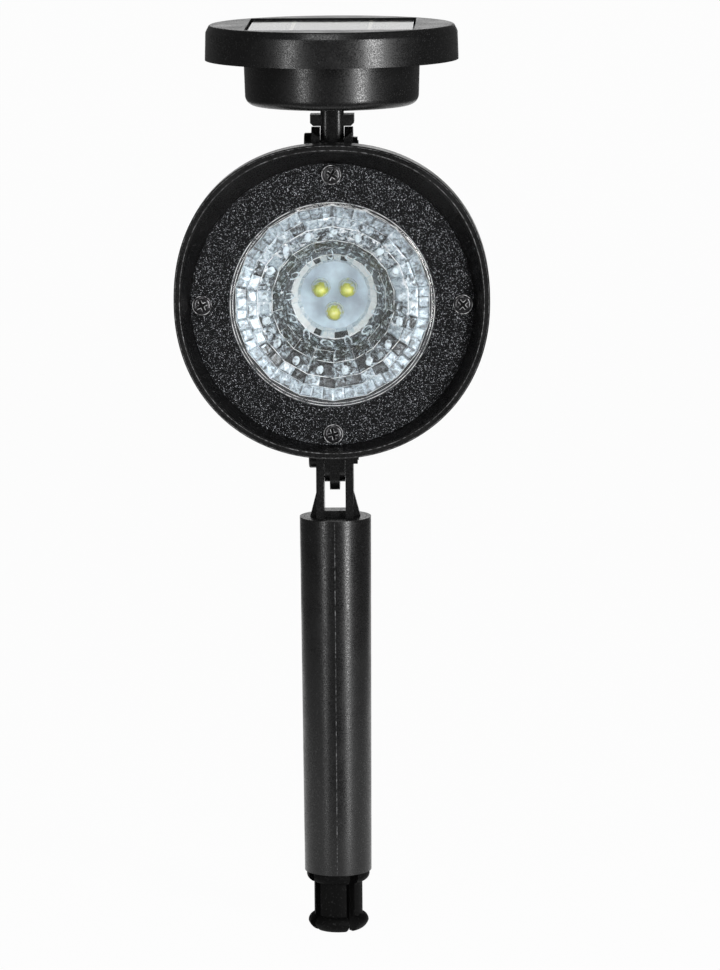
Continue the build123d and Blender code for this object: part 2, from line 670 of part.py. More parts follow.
parts = {
    "pole_tube": make_pole_tube(),
    "pole_yoke": make_pole_yoke(),
    "snap_plug": make_snap_plug(),
    "lamp_pivot_bolt": make_bolt(yoke_out_x, pivot_low_z),
    "lamp_pivot_nut": make_nut(yoke_out_x, pivot_low_z),
    "lamp_housing": make_lamp_housing(),
    "bezel_plate": make_bezel_plate(),
    "bezel_screws": make_bezel_screws(),
    "lens": make_lens(),
    "lens_seal": make_lens_seal(),
    "reflector": make_reflector(),
    "led_board": make_led_board(),
    "leds": make_leds(),
    "resistors": make_resistors(),
    "led_board_screws": make_led_board_screws(),
    "solar_pivot_bolt": make_bolt(fork_out_x, pivot_top_z),
    "solar_pivot_nut": make_nut(fork_out_x, pivot_top_z),
    "panel_cover": make_panel_cover(),
    "solar_cell": make_solar_cell(),
    "cell_window": make_cell_window(),
    "panel_seal": make_panel_seal(),
    "battery_can": make_battery_can(),
    "cover_screws": make_cover_screws(),
    "battery_cells": make_battery_cells(),
    "battery_contacts": make_battery_contacts(),
    "charge_board": make_charge_board(),
    "charge_parts": make_charge_parts(),
    "board_screws": make_board_screws(),
    "switch_body": make_switch_body(),
    "power_button": make_power_button(),
}

os.makedirs("parts", exist_ok=True)
for name, shape in parts.items():
    solids = [s for piece in (shape if isinstance(shape, list) else [shape])
              for s in piece.solids()]
    node = solids[0] if len(solids) == 1 else Compound(children=solids)
    node.label = name
    export_step(node, f"parts/{name}.step")
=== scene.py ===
"""Looks of the light projector stake, laid out as a Blender add-on.

Each piece of the looks is an operator, the sizes and colours are properties,
and one panel lists them. Lengths are in metres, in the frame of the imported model:
+Z up, the lamp faces -Y, the origin is the centre of the pole's lower end.
"""

import json
import math
import random

import bmesh
import bpy
from bpy.props import (
    FloatProperty, FloatVectorProperty, IntProperty, PointerProperty,
)
from bpy.types import Operator, Panel, PropertyGroup
from mathutils import Matrix, Vector


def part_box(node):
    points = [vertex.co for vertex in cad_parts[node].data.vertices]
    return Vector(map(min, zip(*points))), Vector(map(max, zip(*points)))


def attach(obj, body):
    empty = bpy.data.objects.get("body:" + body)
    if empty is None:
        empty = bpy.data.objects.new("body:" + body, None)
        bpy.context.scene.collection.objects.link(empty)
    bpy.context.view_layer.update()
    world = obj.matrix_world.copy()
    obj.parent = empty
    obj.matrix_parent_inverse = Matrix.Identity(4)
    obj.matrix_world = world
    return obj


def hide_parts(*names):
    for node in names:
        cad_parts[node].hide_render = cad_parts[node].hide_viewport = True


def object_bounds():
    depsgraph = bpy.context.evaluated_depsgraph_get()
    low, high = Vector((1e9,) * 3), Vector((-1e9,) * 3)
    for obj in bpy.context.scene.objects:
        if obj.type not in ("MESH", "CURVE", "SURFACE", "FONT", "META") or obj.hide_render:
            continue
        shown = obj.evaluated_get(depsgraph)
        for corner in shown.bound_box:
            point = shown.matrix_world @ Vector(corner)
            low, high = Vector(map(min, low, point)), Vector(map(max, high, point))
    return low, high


bl_info = {
    "name": "Light Projector Stake Looks",
    "version": (1, 0, 0),
    "blender": (4, 5, 0),
    "location": "3D View > Sidebar > Stake Light",
    "description": "Finishes, optics and studio for a solar spot lamp on a pole",
    "category": "Object",
}

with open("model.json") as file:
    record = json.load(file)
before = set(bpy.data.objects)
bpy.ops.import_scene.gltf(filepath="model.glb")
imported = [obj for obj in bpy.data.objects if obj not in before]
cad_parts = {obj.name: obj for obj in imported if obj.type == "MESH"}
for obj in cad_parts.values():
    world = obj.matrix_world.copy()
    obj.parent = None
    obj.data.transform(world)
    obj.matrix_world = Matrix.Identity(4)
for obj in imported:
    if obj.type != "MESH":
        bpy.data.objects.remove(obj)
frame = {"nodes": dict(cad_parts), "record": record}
cad_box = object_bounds()

MM = 0.001
TINY = 1e-7            # a radius below this is a point on the axis
WIRE_SIDES = 6         # sides of the thin edge lines' section


# ---- places read from the frame -------------------------------------------

def middle(node, axis):
    """Middle of a node's box along one axis."""
    low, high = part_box(node)
    return (low[axis] + high[axis]) / 2


def half_width(node, axis=0):
    """Half of a node's box along one axis."""
    low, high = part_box(node)
    return (high[axis] - low[axis]) / 2


LENS_Z = middle("lens", 2)
LENS_FRONT_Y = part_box("lens")[0][1]
LENS_BACK_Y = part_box("lens")[1][1]
FLANGE_R = half_width("lens")
BEZEL_FRONT_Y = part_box("bezel_plate")[0][1]
BEZEL_BACK_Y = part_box("bezel_plate")[1][1]
REFLECTOR_FRONT_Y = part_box("reflector")[0][1]
REFLECTOR_BACK_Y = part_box("reflector")[1][1]
BOARD_FRONT_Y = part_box("led_board")[0][1]
LED_TOP_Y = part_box("leds")[0][1]
SCREW_FRONT_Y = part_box("bezel_screws")[0][1]
SCREW_BACK_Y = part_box("bezel_screws")[1][1]
CELL_TOP_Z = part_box("solar_cell")[1][2]
CELL_HALF = half_width("solar_cell")
POLE_TOP_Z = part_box("pole_tube")[1][2]
GROUND_Z = cad_box[0][2]


# ---- properties ------------------------------------------------------------

def length(name, description, default):
    """A length in metres, shown in the scene's unit."""
    return FloatProperty(name=name, description=description, default=default,
                         min=0.0, unit="LENGTH", precision=5)


def colour(name, description, default):
    """A linear colour."""
    return FloatVectorProperty(name=name, description=description, default=default,
                               size=3, min=0.0, max=1.0, subtype="COLOR")


class STAKE_PG_optics(PropertyGroup):
    """Sizes of the lens, the reflector and the light sources."""
    window_r: length("Window Radius", "Clear window inside the bezel", FLANGE_R - 2.55 * MM)
    bevel: length("Window Bevel", "Bevel round the window", 0.8 * MM)
    sides: IntProperty(name="Reflector Sides", description="Flat sides of each facet ring",
                       default=18, min=6, max=64)
    rim_r: length("Facet Rim Radius", "Outer edge of the facets", FLANGE_R - 4.1 * MM)
    step_r: length("Facet Step Radius", "Edge between the two outer rows", 25.3 * MM)
    belt_r: length("Facet Belt Radius", "Inner edge of the outer rows", 22.4 * MM)
    well_r: length("Well Radius", "Edge where the deep cone begins", 18.2 * MM)
    scallop_r: length("Scallop Radius", "Row of loops in the cone", 14.2 * MM)
    throat_r: length("Throat Radius", "Narrow end of the cone", 12.2 * MM)
    collar_r: length("Collar Radius", "Inner edge of the bright collar", 10.5 * MM)
    cup_r: length("Cup Radius", "Hole that shows the board", 9.6 * MM)
    loop_count: IntProperty(name="Loop Count", description="Loops round the throat",
                            default=13, min=3, max=40)
    bead_count: IntProperty(name="Bead Count", description="Beads round the belt",
                            default=17, min=3, max=60)
    led_r: length("Light Source Radius", "Radius of one resin dome", 2.3 * MM)
    led_pitch_r: length("Light Source Pitch", "Radius of their circle", 4.45 * MM)


class STAKE_PG_hardware(PropertyGroup):
    """Sizes of the screws, the seam and the cell's grid."""
    screw_head_r: length("Screw Head Radius", "Cross-head screws of the bezel", 3.0 * MM)
    screw_count: IntProperty(name="Screw Count", description="Screws round the bezel",
                             default=4, min=2, max=12)
    rim_wall: length("Rim Wall", "Width of the rim's front face", 2.0 * MM)
    rim_lift: length("Rim Lift", "Rim centre above the lens axis", 1.3 * MM)
    hood_power: FloatProperty(name="Hood Power", description="Squareness of the rim's top",
                              default=2.2, min=2.0, max=4.0)
    chin_power: FloatProperty(name="Chin Power", description="Squareness of its lower half",
                              default=2.1, min=2.0, max=4.0)
    seam_width: length("Seam Width", "Mould seam along the pole", 0.42 * MM)
    seam_height: length("Seam Height", "How far the seam stands proud", 0.13 * MM)
    finger_count: IntProperty(name="Cell Fingers", description="Fine lines across the cell",
                              default=30, min=4, max=80)
    finger_width: length("Finger Width", "Width of one fine line", 0.12 * MM)
    busbar_width: length("Busbar Width", "Width of a busbar", 1.1 * MM)


class STAKE_PG_finish(PropertyGroup):
    """Colours of the finishes."""
    plastic: colour("Black Plastic", "Housing, pole and solar head",
                    (0.0015, 0.0015, 0.0016))
    # the bezel's light points are painted sparkle of its grain
    bezel: colour("Bezel Grain", "Light points of the bezel's grain", (0.74, 0.77, 0.82))
    screw: colour("Black Screw", "Blackened screws", (0.02, 0.02, 0.021))
    facet: colour("Facet Blue", "Pale tint of the facets", (0.47, 0.565, 0.635))
    board: colour("Board", "Solder mask of the light board", (0.62, 0.74, 0.86))
    phosphor: colour("Phosphor", "Light sources seen through their domes", (0.66, 0.68, 0.10))
    cell: colour("Solar Cell", "Dark blue cell", (0.012, 0.02, 0.055))


class STAKE_PG_studio(PropertyGroup):
    """Camera and lights."""
    focal: FloatProperty(name="Focal Length", description="In millimetres, 36 mm wide sensor",
                         default=246.6, min=20.0)
    place: FloatVectorProperty(name="Camera Place", description="Where the camera stands",
                               default=(0.0417, -1.4574, 0.3596), size=3, subtype="XYZ",
                               unit="LENGTH")
    pitch: FloatProperty(name="Camera Pitch", description="How far it looks down",
                         default=0.1643, subtype="ANGLE")
    yaw: FloatProperty(name="Camera Yaw", description="How far it looks to the left",
                       default=0.0235, subtype="ANGLE")
    roll: FloatProperty(name="Camera Roll", description="Lean of the camera",
                        default=-0.0073, subtype="ANGLE")
    key_power: FloatProperty(name="Key Power", description="Right softbox", default=15.0,
                             unit="POWER")
    fill_power: FloatProperty(name="Fill Power", description="Left softbox", default=4.8,
                              unit="POWER")
    top_power: FloatProperty(name="Top Power", description="Overhead softbox", default=2.6,
                             unit="POWER")
    floor_colour: colour("Floor Colour", "Pale floor and backdrop", (0.7, 0.7, 0.7))


# ---- mesh helpers ----------------------------------------------------------

def bm_piece(name, bm, smooth=True):
    """Mesh object at the origin from a bmesh, with its normals made consistent."""
    bmesh.ops.recalc_face_normals(bm, faces=bm.faces)
    mesh = bpy.data.meshes.new(name)
    bm.to_mesh(mesh)
    bm.free()
    if smooth:
        mesh.shade_smooth()
    piece = bpy.data.objects.new(name, mesh)
    bpy.context.scene.collection.objects.link(piece)
    return piece


def turned(bm, profile, centre_z=0.0, segments=128):
    """Adds a closed solid of revolution about the lens axis from (radius, y) points."""
    rings = []
    for r, y in profile:
        if r < TINY:
            rings.append([bm.verts.new((0.0, y, centre_z))])
            continue
        turns = (2 * math.pi * i / segments for i in range(segments))
        rings.append([bm.verts.new((r * math.sin(a), y, centre_z + r * math.cos(a)))
                      for a in turns])
    pairs = list(zip(rings, rings[1:]))
    if profile[0][0] > TINY:
        pairs.append((rings[-1], rings[0]))
    for low, high in pairs:
        for i in range(segments):
            j = (i + 1) % segments
            if len(low) == 1:
                bm.faces.new((low[0], high[i], high[j]))
            elif len(high) == 1:
                bm.faces.new((low[i], low[j], high[0]))
            else:
                bm.faces.new((low[i], low[j], high[j], high[i]))


def bar(bm, low, high):
    """Solid between two rings of points, with both ends closed."""
    low, high = ([bm.verts.new(point) for point in ring] for ring in (low, high))
    for k in range(len(low)):
        n = (k + 1) % len(low)
        bm.faces.new((low[k], low[n], high[n], high[k]))
    bm.faces.new(reversed(low))
    bm.faces.new(high)


def wire_loop(bm, steps, y, wire, place):
    """Thin closed line; place gives x and z at an angle, moved out by a distance."""
    rings = []
    for i in range(steps):
        a = 2 * math.pi * i / steps
        ring = []
        for k in range(WIRE_SIDES):
            b = 2 * math.pi * k / WIRE_SIDES
            x, z = place(a, wire * math.cos(b))
            ring.append(bm.verts.new((x, y + wire * math.sin(b), z)))
        rings.append(ring)
    for low, high in zip(rings, rings[1:] + rings[:1]):
        for k in range(WIRE_SIDES):
            n = (k + 1) % WIRE_SIDES
            bm.faces.new((low[k], low[n], high[n], high[k]))


def hoop(bm, radius, y, wire, sides, centre_z=0.0, squash=1.0):
    """Thin ring with straight or round sides, facing along Y."""
    wire_loop(bm, sides, y, wire, lambda a, out: (
        (radius + out) * math.sin(a) * squash, centre_z + (radius + out) * math.cos(a)))


def placed_cube(bm, place, turn=0.0):
    """Cube whose corners a function places, then turned about Y."""
    verts = bmesh.ops.create_cube(bm, size=1.0)["verts"]
    for vert in verts:
        vert.co = place(vert.co)
    bmesh.ops.rotate(bm, verts=verts, cent=(0, 0, 0), matrix=Matrix.Rotation(turn, 3, "Y"))


def set_material(piece, material):
    """One material on a piece."""
    piece.data.materials.clear()
    piece.data.materials.append(material)


def sharpen(piece, degrees=35):
    """Smooth shading with edges kept sharp past an angle."""
    mesh = piece.data
    bm = bmesh.new()
    bm.from_mesh(mesh)
    for edge in bm.edges:
        if len(edge.link_faces) == 2 and edge.calc_face_angle(0) > math.radians(degrees):
            edge.smooth = False
    bm.to_mesh(mesh)
    bm.free()


# ---- geometry nodes helpers ------------------------------------------------

def add_node(tree, kind, links=None, **settings):
    """Adds a node, sets its inputs by name and its own settings, and links it."""
    made = tree.nodes.new(kind)
    for label, value in settings.items():
        if label in made.bl_rna.properties:
            setattr(made, label, value)
        else:
            made.inputs[label.replace("_", " ")].default_value = value
    for label, source in (links or {}).items():
        tree.links.new(source, made.inputs[label])
    return made


def tree_with(name, sockets):
    """Empty geometry node tree with named inputs, and the outputs of its start."""
    tree = bpy.data.node_groups.new(name, "GeometryNodeTree")
    face = tree.interface
    face.new_socket("Geometry", in_out="INPUT", socket_type="NodeSocketGeometry")
    for label, kind in sockets.items():
        face.new_socket(label, in_out="INPUT", socket_type="NodeSocket" + kind)
    face.new_socket("Geometry", in_out="OUTPUT", socket_type="NodeSocketGeometry")
    return tree, tree.nodes.new("NodeGroupInput").outputs


def circle_tree():
    """Places the incoming piece on a circle round the lens axis, each turned at random."""
    tree, given = tree_with("Round Array", {
        "Count": "Int", "Radius": "Float", "Start Angle": "Float", "Place": "Vector",
        "Spin": "Float", "Seed": "Int", "Material": "Material",
    })
    circle = add_node(tree, "GeometryNodeMeshCircle",
                      {"Vertices": given["Count"], "Radius": given["Radius"]})
    back = add_node(tree, "ShaderNodeMath", {0: given["Start Angle"]}, operation="MULTIPLY")
    back.inputs[1].default_value = -1.0
    upright = add_node(tree, "ShaderNodeCombineXYZ", {"Y": back.outputs[0]}, X=math.pi / 2)
    move = add_node(tree, "GeometryNodeTransform", {
        "Geometry": circle.outputs["Mesh"], "Rotation": upright.outputs[0],
        "Translation": given["Place"],
    })
    # the float maximum is the fourth input: the vector one has the same name
    chance = add_node(tree, "FunctionNodeRandomValue", {3: given["Spin"], "Seed": given["Seed"]})
    turn = add_node(tree, "ShaderNodeCombineXYZ", {"Y": chance.outputs[1]})
    place = add_node(tree, "GeometryNodeInstanceOnPoints", {
        "Points": move.outputs[0], "Instance": given["Geometry"], "Rotation": turn.outputs[0],
    })
    return finish_tree(tree, given, place.outputs[0])


def line_tree():
    """Repeats the incoming piece along a line."""
    tree, given = tree_with("Line Array", {
        "Count": "Int", "Start": "Vector", "Step": "Vector", "Material": "Material",
    })
    line = add_node(tree, "GeometryNodeMeshLine", {
        "Count": given["Count"], "Start Location": given["Start"], "Offset": given["Step"],
    })
    place = add_node(tree, "GeometryNodeInstanceOnPoints",
                     {"Points": line.outputs["Mesh"], "Instance": given["Geometry"]})
    return finish_tree(tree, given, place.outputs[0])


def finish_tree(tree, given, source):
    """Realize Instances and Set Material before the output."""
    real = add_node(tree, "GeometryNodeRealizeInstances", {0: source})
    paint = add_node(tree, "GeometryNodeSetMaterial",
                     {"Geometry": real.outputs[0], "Material": given["Material"]})
    add_node(tree, "NodeGroupOutput", {0: paint.outputs[0]})
    return tree


def grow(seed_piece, name, tree, slot, **values):
    """Runs a tree on a seed piece and returns the result as a plain mesh piece."""
    modifier = seed_piece.modifiers.new("Array", "NODES")
    modifier.node_group = tree
    for item in tree.interface.items_tree:
        key = item.name.lower().replace(" ", "_")
        if item.in_out == "INPUT" and key in values:
            modifier[item.identifier] = values[key]
    depsgraph = bpy.context.evaluated_depsgraph_get()
    mesh = bpy.data.meshes.new_from_object(seed_piece.evaluated_get(depsgraph))
    bpy.data.objects.remove(seed_piece, do_unlink=True)
    mesh.name = name
    piece = bpy.data.objects.new(name, mesh)
    bpy.context.scene.collection.objects.link(piece)
    return piece


# ---- shader helpers --------------------------------------------------------

class Shader:
    """A material with its Principled BSDF and short ways to add nodes."""

    def __init__(self, name, **constants):
        self.material = bpy.data.materials.new(name)
        self.material.use_nodes = True
        self.tree = self.material.node_tree
        self.bsdf = self.tree.nodes["Principled BSDF"]
        self.coords = self.tree.nodes.new("ShaderNodeTexCoord").outputs["Object"]
        self.fix(self.bsdf, constants)

    @staticmethod
    def fix(node, values):
        """Sets inputs by name, colours from three numbers."""
        for label, value in values.items():
            socket = node.inputs[label.replace("_", " ")]
            socket.default_value = (*value, 1.0) if isinstance(value, tuple) else value

    def node(self, kind, links=None, **settings):
        """Adds a node to this material."""
        return add_node(self.tree, kind, links, **settings)

    def group(self, tree, **values):
        """Places a shader group on object coordinates."""
        made = self.node("ShaderNodeGroup")
        made.node_tree = tree
        self.tree.links.new(self.coords, made.inputs["Vector"])
        self.fix(made, values)
        return made.outputs

    def noise(self, scale, **settings):
        """Noise on object coordinates."""
        return self.node("ShaderNodeTexNoise", {"Vector": self.coords}, Scale=scale,
                         **settings).outputs["Fac"]

    def spread(self, value, low, high, **read):
        """A value mapped to a new range."""
        return self.node("ShaderNodeMapRange", {"Value": value}, To_Min=low, To_Max=high,
                         **read).outputs["Result"]

    def math(self, operation, first, second):
        """Two values, or a value and a number, put together."""
        made = self.node("ShaderNodeMath", {0: first}, operation=operation)
        if isinstance(second, float):
            made.inputs[1].default_value = second
        else:
            self.tree.links.new(second, made.inputs[1])
        return made.outputs[0]

    def ramp(self, value, *stops):
        """Colour ramp through (place, colour) stops."""
        made = self.node("ShaderNodeValToRGB", {"Fac": value})
        elements = made.color_ramp.elements
        for element, (place, tint) in zip(elements, (stops[0], stops[-1])):
            element.position, element.color = place, (*tint, 1.0)
        for place, tint in stops[1:-1]:
            elements.new(place).color = (*tint, 1.0)
        return made.outputs["Color"]

    def feed(self, **sources):
        """Links outputs to inputs of the Principled BSDF."""
        for label, source in sources.items():
            self.tree.links.new(source, self.bsdf.inputs[label.replace("_", " ")])

    def bump(self, height, strength, distance):
        """Feeds the normal from a height."""
        made = self.node("ShaderNodeBump", {"Height": height}, Strength=strength,
                         Distance=distance)
        self.feed(Normal=made.outputs["Normal"])


def grain_tree():
    """Moulded grain: a height, a tone with light points painted as sparkle, and a slow wear."""
    tree = bpy.data.node_groups.new("Moulded Grain", "ShaderNodeTree")
    for label, kind in (("Vector", "Vector"), ("Scale", "Float"), ("Base", "Color"),
                        ("Light", "Color"), ("Points", "Float"), ("Roughness", "Float")):
        tree.interface.new_socket(label, in_out="INPUT", socket_type="NodeSocket" + kind)
    for label, kind in (("Color", "Color"), ("Roughness", "Float"), ("Height", "Float")):
        tree.interface.new_socket(label, in_out="OUTPUT", socket_type="NodeSocket" + kind)
    given = tree.nodes.new("NodeGroupInput").outputs
    fine = add_node(tree, "ShaderNodeTexNoise",
                    {"Vector": given["Vector"], "Scale": given["Scale"]},
                    Detail=3.0, Roughness=0.7)
    broad = add_node(tree, "ShaderNodeTexNoise", {"Vector": given["Vector"]},
                     Scale=90.0, Detail=4.0)
    # light points: painted sparkle where the fine noise is high
    points = add_node(tree, "ShaderNodeMapRange",
                      {"Value": fine.outputs["Fac"], "From Min": given["Points"]},
                      From_Max=0.67)
    # the sockets of a mix share their names, so its colours are linked by index
    mix = add_node(tree, "ShaderNodeMix", {
        "Factor": points.outputs["Result"], 6: given["Base"], 7: given["Light"],
    }, data_type="RGBA")
    wear = add_node(tree, "ShaderNodeMapRange", {"Value": broad.outputs["Fac"]},
                    From_Min=0.3, From_Max=0.7, To_Min=-0.06, To_Max=0.07)
    rough = add_node(tree, "ShaderNodeMath",
                     {0: wear.outputs["Result"], 1: given["Roughness"]})
    add_node(tree, "NodeGroupOutput", {
        "Color": mix.outputs[2], "Roughness": rough.outputs[0], "Height": fine.outputs["Fac"],
    })
    return tree


MATERIALS = {}


def make_materials(finish):
    """All finishes: blacks with grain, clear resins, broken edges, and the rest by name."""
    grain = grain_tree()
    plastic = tuple(finish.plastic)
    soft = dict(scale=1100.0, base=(0.02, 0.02, 0.021), light=(0.07, 0.07, 0.07), points=0.6,
                rough=0.72, bump=(0.4, 0.0002), Specular_IOR_Level=0.3)
    MATERIALS.update(
        black_plastic=black_plastic(plastic, grain),
        grained_plastic=grained(
            "grained_plastic", grain, 3400.0, (0.0035, 0.0037, 0.0043), tuple(finish.bezel),
            0.61, 0.38, (0.9, 0.0005), IOR=1.45, Specular_IOR_Level=0.14),
        black_screw=grained(
            "black_screw", grain, 2600.0, tuple(finish.screw), (0.10, 0.10, 0.105),
            0.54, 0.24, (0.2, 0.00005), Metallic=0.6, Specular_IOR_Level=0.5),
        black_bolt=grained(
            "black_bolt", grain, 2200.0, plastic, (0.05, 0.05, 0.05),
            0.6, 0.30, (0.2, 0.00006), Specular_IOR_Level=0.25),
        matt_black=grained(
            "matt_black", grain, 1500.0, (0.002, 0.002, 0.002), (0.02, 0.02, 0.02),
            0.6, 0.6, (0.3, 0.0001), Specular_IOR_Level=0.06),
        components=grained(
            "components", grain, 3000.0, (0.025, 0.025, 0.027), (0.09, 0.09, 0.09),
            0.55, 0.5, (0.3, 0.00005), Specular_IOR_Level=0.4),
        seal_rubber=grained("seal_rubber", grain, **soft),
        button_rubber=grained("button_rubber", grain, **soft),
        clear_lens=clear("clear_lens", 160.0, 3.0, (0.0, 0.05), (0.25, 0.0002), IOR=1.49,
                         Transmission_Weight=1.0, Base_Color=(0.985, 0.995, 1.0)),
        window_resin=clear("window_resin", 70.0, 4.0, (0.03, 0.14), (0.3, 0.0003), IOR=1.5,
                           Transmission_Weight=0.9, Base_Color=(0.93, 0.95, 0.98)),
        # painted highlights: thin edges of the facets and the window, near white in patches
        facet_edge=mottled(
            "facet_edge", dict(scale=420.0, Detail=4.0, Roughness=0.7),
            (0.36, (0.10, 0.11, 0.12)), (0.52, (0.95, 0.97, 0.98)), (0.3, 0.0001),
            Roughness=0.25),
        # pale grey patches: wear on the pole's seam, painted highlights on the rim's edges
        worn_edge=mottled(
            "worn_edge", dict(scale=700.0, Detail=4.0, Roughness=0.75),
            (0.45, (0.006, 0.006, 0.006)), (0.66, (0.22, 0.22, 0.225)), (0.3, 0.0001),
            Roughness=0.35, Specular_IOR_Level=0.4),
        glint=mottled(
            "glint", dict(scale=900.0, Detail=3.0, Roughness=0.7),
            (0.42, (0.02, 0.02, 0.021)), (0.60, (0.62, 0.62, 0.63)), (0.2, 0.0001),
            Roughness=0.3, Specular_IOR_Level=0.6),
        bead=mottled(
            "bead", dict(scale=760.0, Detail=3.0),
            (0.30, (0.14, 0.16, 0.17)), (0.50, (0.70, 0.79, 0.84)), (0.4, 0.0002),
            Roughness=0.15, Specular_IOR_Level=0.7),
        battery_sleeve=mottled(
            "battery_sleeve", dict(scale=220.0, Detail=3.0),
            (0.0, (0.03, 0.16, 0.06)), (1.0, (0.06, 0.26, 0.11)), (0.2, 0.0001),
            Coat_Weight=0.4, Coat_Roughness=0.1),
        bright_reflector=facets(finish), board=board_mask(finish), led_resin=led_resin(finish),
        solar_cell=solar_cell(finish), contact_metal=nickel(),
    )


def grained(name, grain, scale, base, light, points, rough, bump, **surface):
    """Moulded or blackened surface with the shared grain, whose light points are painted
    sparkle.
    """
    shader = Shader(name, **surface)
    look = shader.group(grain, Scale=scale, Base=base, Points=points, Light=light,
                        Roughness=rough)
    shader.feed(Base_Color=look["Color"], Roughness=look["Roughness"])
    shader.bump(look["Height"], *bump)
    return shader.material


def clear(name, scale, detail, rough, bump, **surface):
    """Clear plastic or resin with a trace of moulding haze."""
    shader = Shader(name, **surface)
    noise = shader.noise(scale, Detail=detail)
    shader.feed(Roughness=shader.spread(noise, *rough))
    shader.bump(noise, *bump)
    return shader.material


def mottled(name, noise, dark, light, bump, **surface):
    """Edge, bead or sleeve whose tone comes and goes."""
    shader = Shader(name, **surface)
    value = shader.noise(**noise)
    shader.feed(Base_Color=shader.ramp(value, dark, light))
    shader.bump(value, *bump)
    return shader.material


def black_plastic(tint, grain):
    """Satin moulded black whose grain shines unevenly, with faint light points painted as
    sparkle.
    """
    shader = Shader("black_plastic", IOR=1.45, Specular_IOR_Level=0.5)
    look = shader.group(grain, Scale=2400.0, Base=tint, Points=0.58,
                        Light=(0.04, 0.04, 0.041), Roughness=0.31)
    speckle = shader.spread(look["Height"], 0.13, -0.12, From_Min=0.40, From_Max=0.60)
    shader.feed(Base_Color=look["Color"],
                Roughness=shader.math("ADD", look["Roughness"], speckle))
    shader.bump(look["Height"], 0.3, 0.00005)
    return shader.material


def facets(finish):
    """Bright metallised facets: each face carries its own tone, a painted reflection, and its
    own grit.
    """
    shader = Shader("bright_reflector", Specular_IOR_Level=0.5)
    tone, grit = (shader.node("ShaderNodeAttribute", attribute_name=name,
                              attribute_type="GEOMETRY").outputs["Fac"]
                  for name in ("tone", "grit"))
    noise = shader.noise(700.0, Detail=4.0, Roughness=0.7, Distortion=0.8)
    swing = shader.spread(noise, -0.5, 0.6, From_Min=0.38, From_Max=0.64)
    level = shader.math("ADD", shader.math("MULTIPLY", swing, grit), tone)
    # painted reflections: the tone runs from near black to white, with the facets' pale tint at
    # 0.65
    tint = shader.ramp(level, (0.0, (0.008, 0.009, 0.01)), (0.25, (0.07, 0.075, 0.08)),
                       (0.45, (0.22, 0.25, 0.27)), (0.65, tuple(finish.facet)),
                       (0.82, (0.72, 0.80, 0.85)), (1.0, (0.98, 0.99, 1.0)))
    shader.feed(Base_Color=tint, Roughness=shader.spread(noise, 0.12, 0.36),
                Metallic=shader.spread(noise, 0.1, 0.35, From_Min=0.35, From_Max=0.65))
    shader.bump(noise, 0.4, 0.0002)
    return shader.material


def board_mask(finish):
    """Pale solder mask with a faint weave of the board below it."""
    shader = Shader("board", Specular_IOR_Level=0.5)
    noise = shader.noise(130.0, Detail=3.0)
    dark, light = (tuple(min(1.0, c * share) for c in finish.board) for share in (0.66, 1.24))
    shader.feed(Base_Color=shader.ramp(noise, (0.35, dark), (0.65, light)),
                Roughness=shader.spread(noise, 0.25, 0.45))
    weave = shader.node("ShaderNodeTexChecker", {"Vector": shader.coords}, Scale=2200.0)
    shader.bump(weave.outputs["Fac"], 0.08, 0.00004)
    return shader.material


def led_resin(finish):
    """Yellow-green phosphor seen through a clear dome: bright and warm in the middle as a
    painted highlight, darker towards the dome's edge, paler outside.
    """
    shader = Shader("led_resin", Coat_Weight=0.6, Coat_Roughness=0.05,
                    Subsurface_Weight=0.15, Subsurface_Scale=0.001)
    spot = shader.node("ShaderNodeAttribute", attribute_name="spot", attribute_type="GEOMETRY")
    noise = shader.noise(900.0, Detail=3.0)
    level = shader.math("SUBTRACT", shader.math("ADD", spot.outputs["Fac"], noise), 0.5)
    # painted highlight at the middle of each dome, then darker towards its edge and pale on the
    # rim
    tint = shader.ramp(level, (0.0, (0.80, 0.80, 0.30)), (0.25, tuple(finish.phosphor)),
                       (0.68, (0.42, 0.45, 0.05)), (0.80, (0.52, 0.58, 0.40)),
                       (1.0, (0.50, 0.60, 0.64)))
    shader.feed(Base_Color=tint, Roughness=shader.spread(noise, 0.12, 0.3))
    return shader.material


def solar_cell(finish):
    """Dark blue cell with crystal flakes."""
    shader = Shader("solar_cell", Specular_IOR_Level=0.5)
    flakes = shader.node("ShaderNodeTexVoronoi", {"Vector": shader.coords}, Scale=260.0)
    dark, light = (tuple(c * share for c in finish.cell) for share in (0.6, 2.2))
    shader.feed(Base_Color=shader.ramp(flakes.outputs["Color"], (0.0, dark), (1.0, light)),
                Roughness=shader.spread(flakes.outputs["Distance"], 0.2, 0.42))
    return shader.material


def nickel():
    """Nickel-plated spring steel, drawn along X."""
    shader = Shader("contact_metal", Metallic=1.0, Base_Color=(0.60, 0.58, 0.53))
    drawn = shader.node("ShaderNodeMapping", {"Vector": shader.coords}, Scale=(1.0, 14.0, 14.0))
    noise = shader.node("ShaderNodeTexNoise", {"Vector": drawn.outputs[0]},
                        Scale=200.0).outputs["Fac"]
    shader.feed(Roughness=shader.spread(noise, 0.2, 0.4))
    shader.bump(noise, 0.15, 0.00005)
    return shader.material


# ---- operators -------------------------------------------------------------

class Piece(Operator):
    """Shared by the operators: each undoes as one step."""
    bl_options = {"REGISTER", "UNDO"}


class STAKE_OT_finishes(Piece):
    """Make the finishes and give each moulded part its own"""
    bl_idname = "stake.finishes"
    bl_label = "Finishes"

    def execute(self, context):
        make_materials(context.scene.stake_finish)
        slots = {p["node"]: p["material_slot"] for p in frame["record"]["subparts"]}
        slots["snap_plug"] = "matt_black"
        for name, part in frame["nodes"].items():
            for slot in part.material_slots:
                slot.material = MATERIALS[slots[name]]
        return {"FINISHED"}


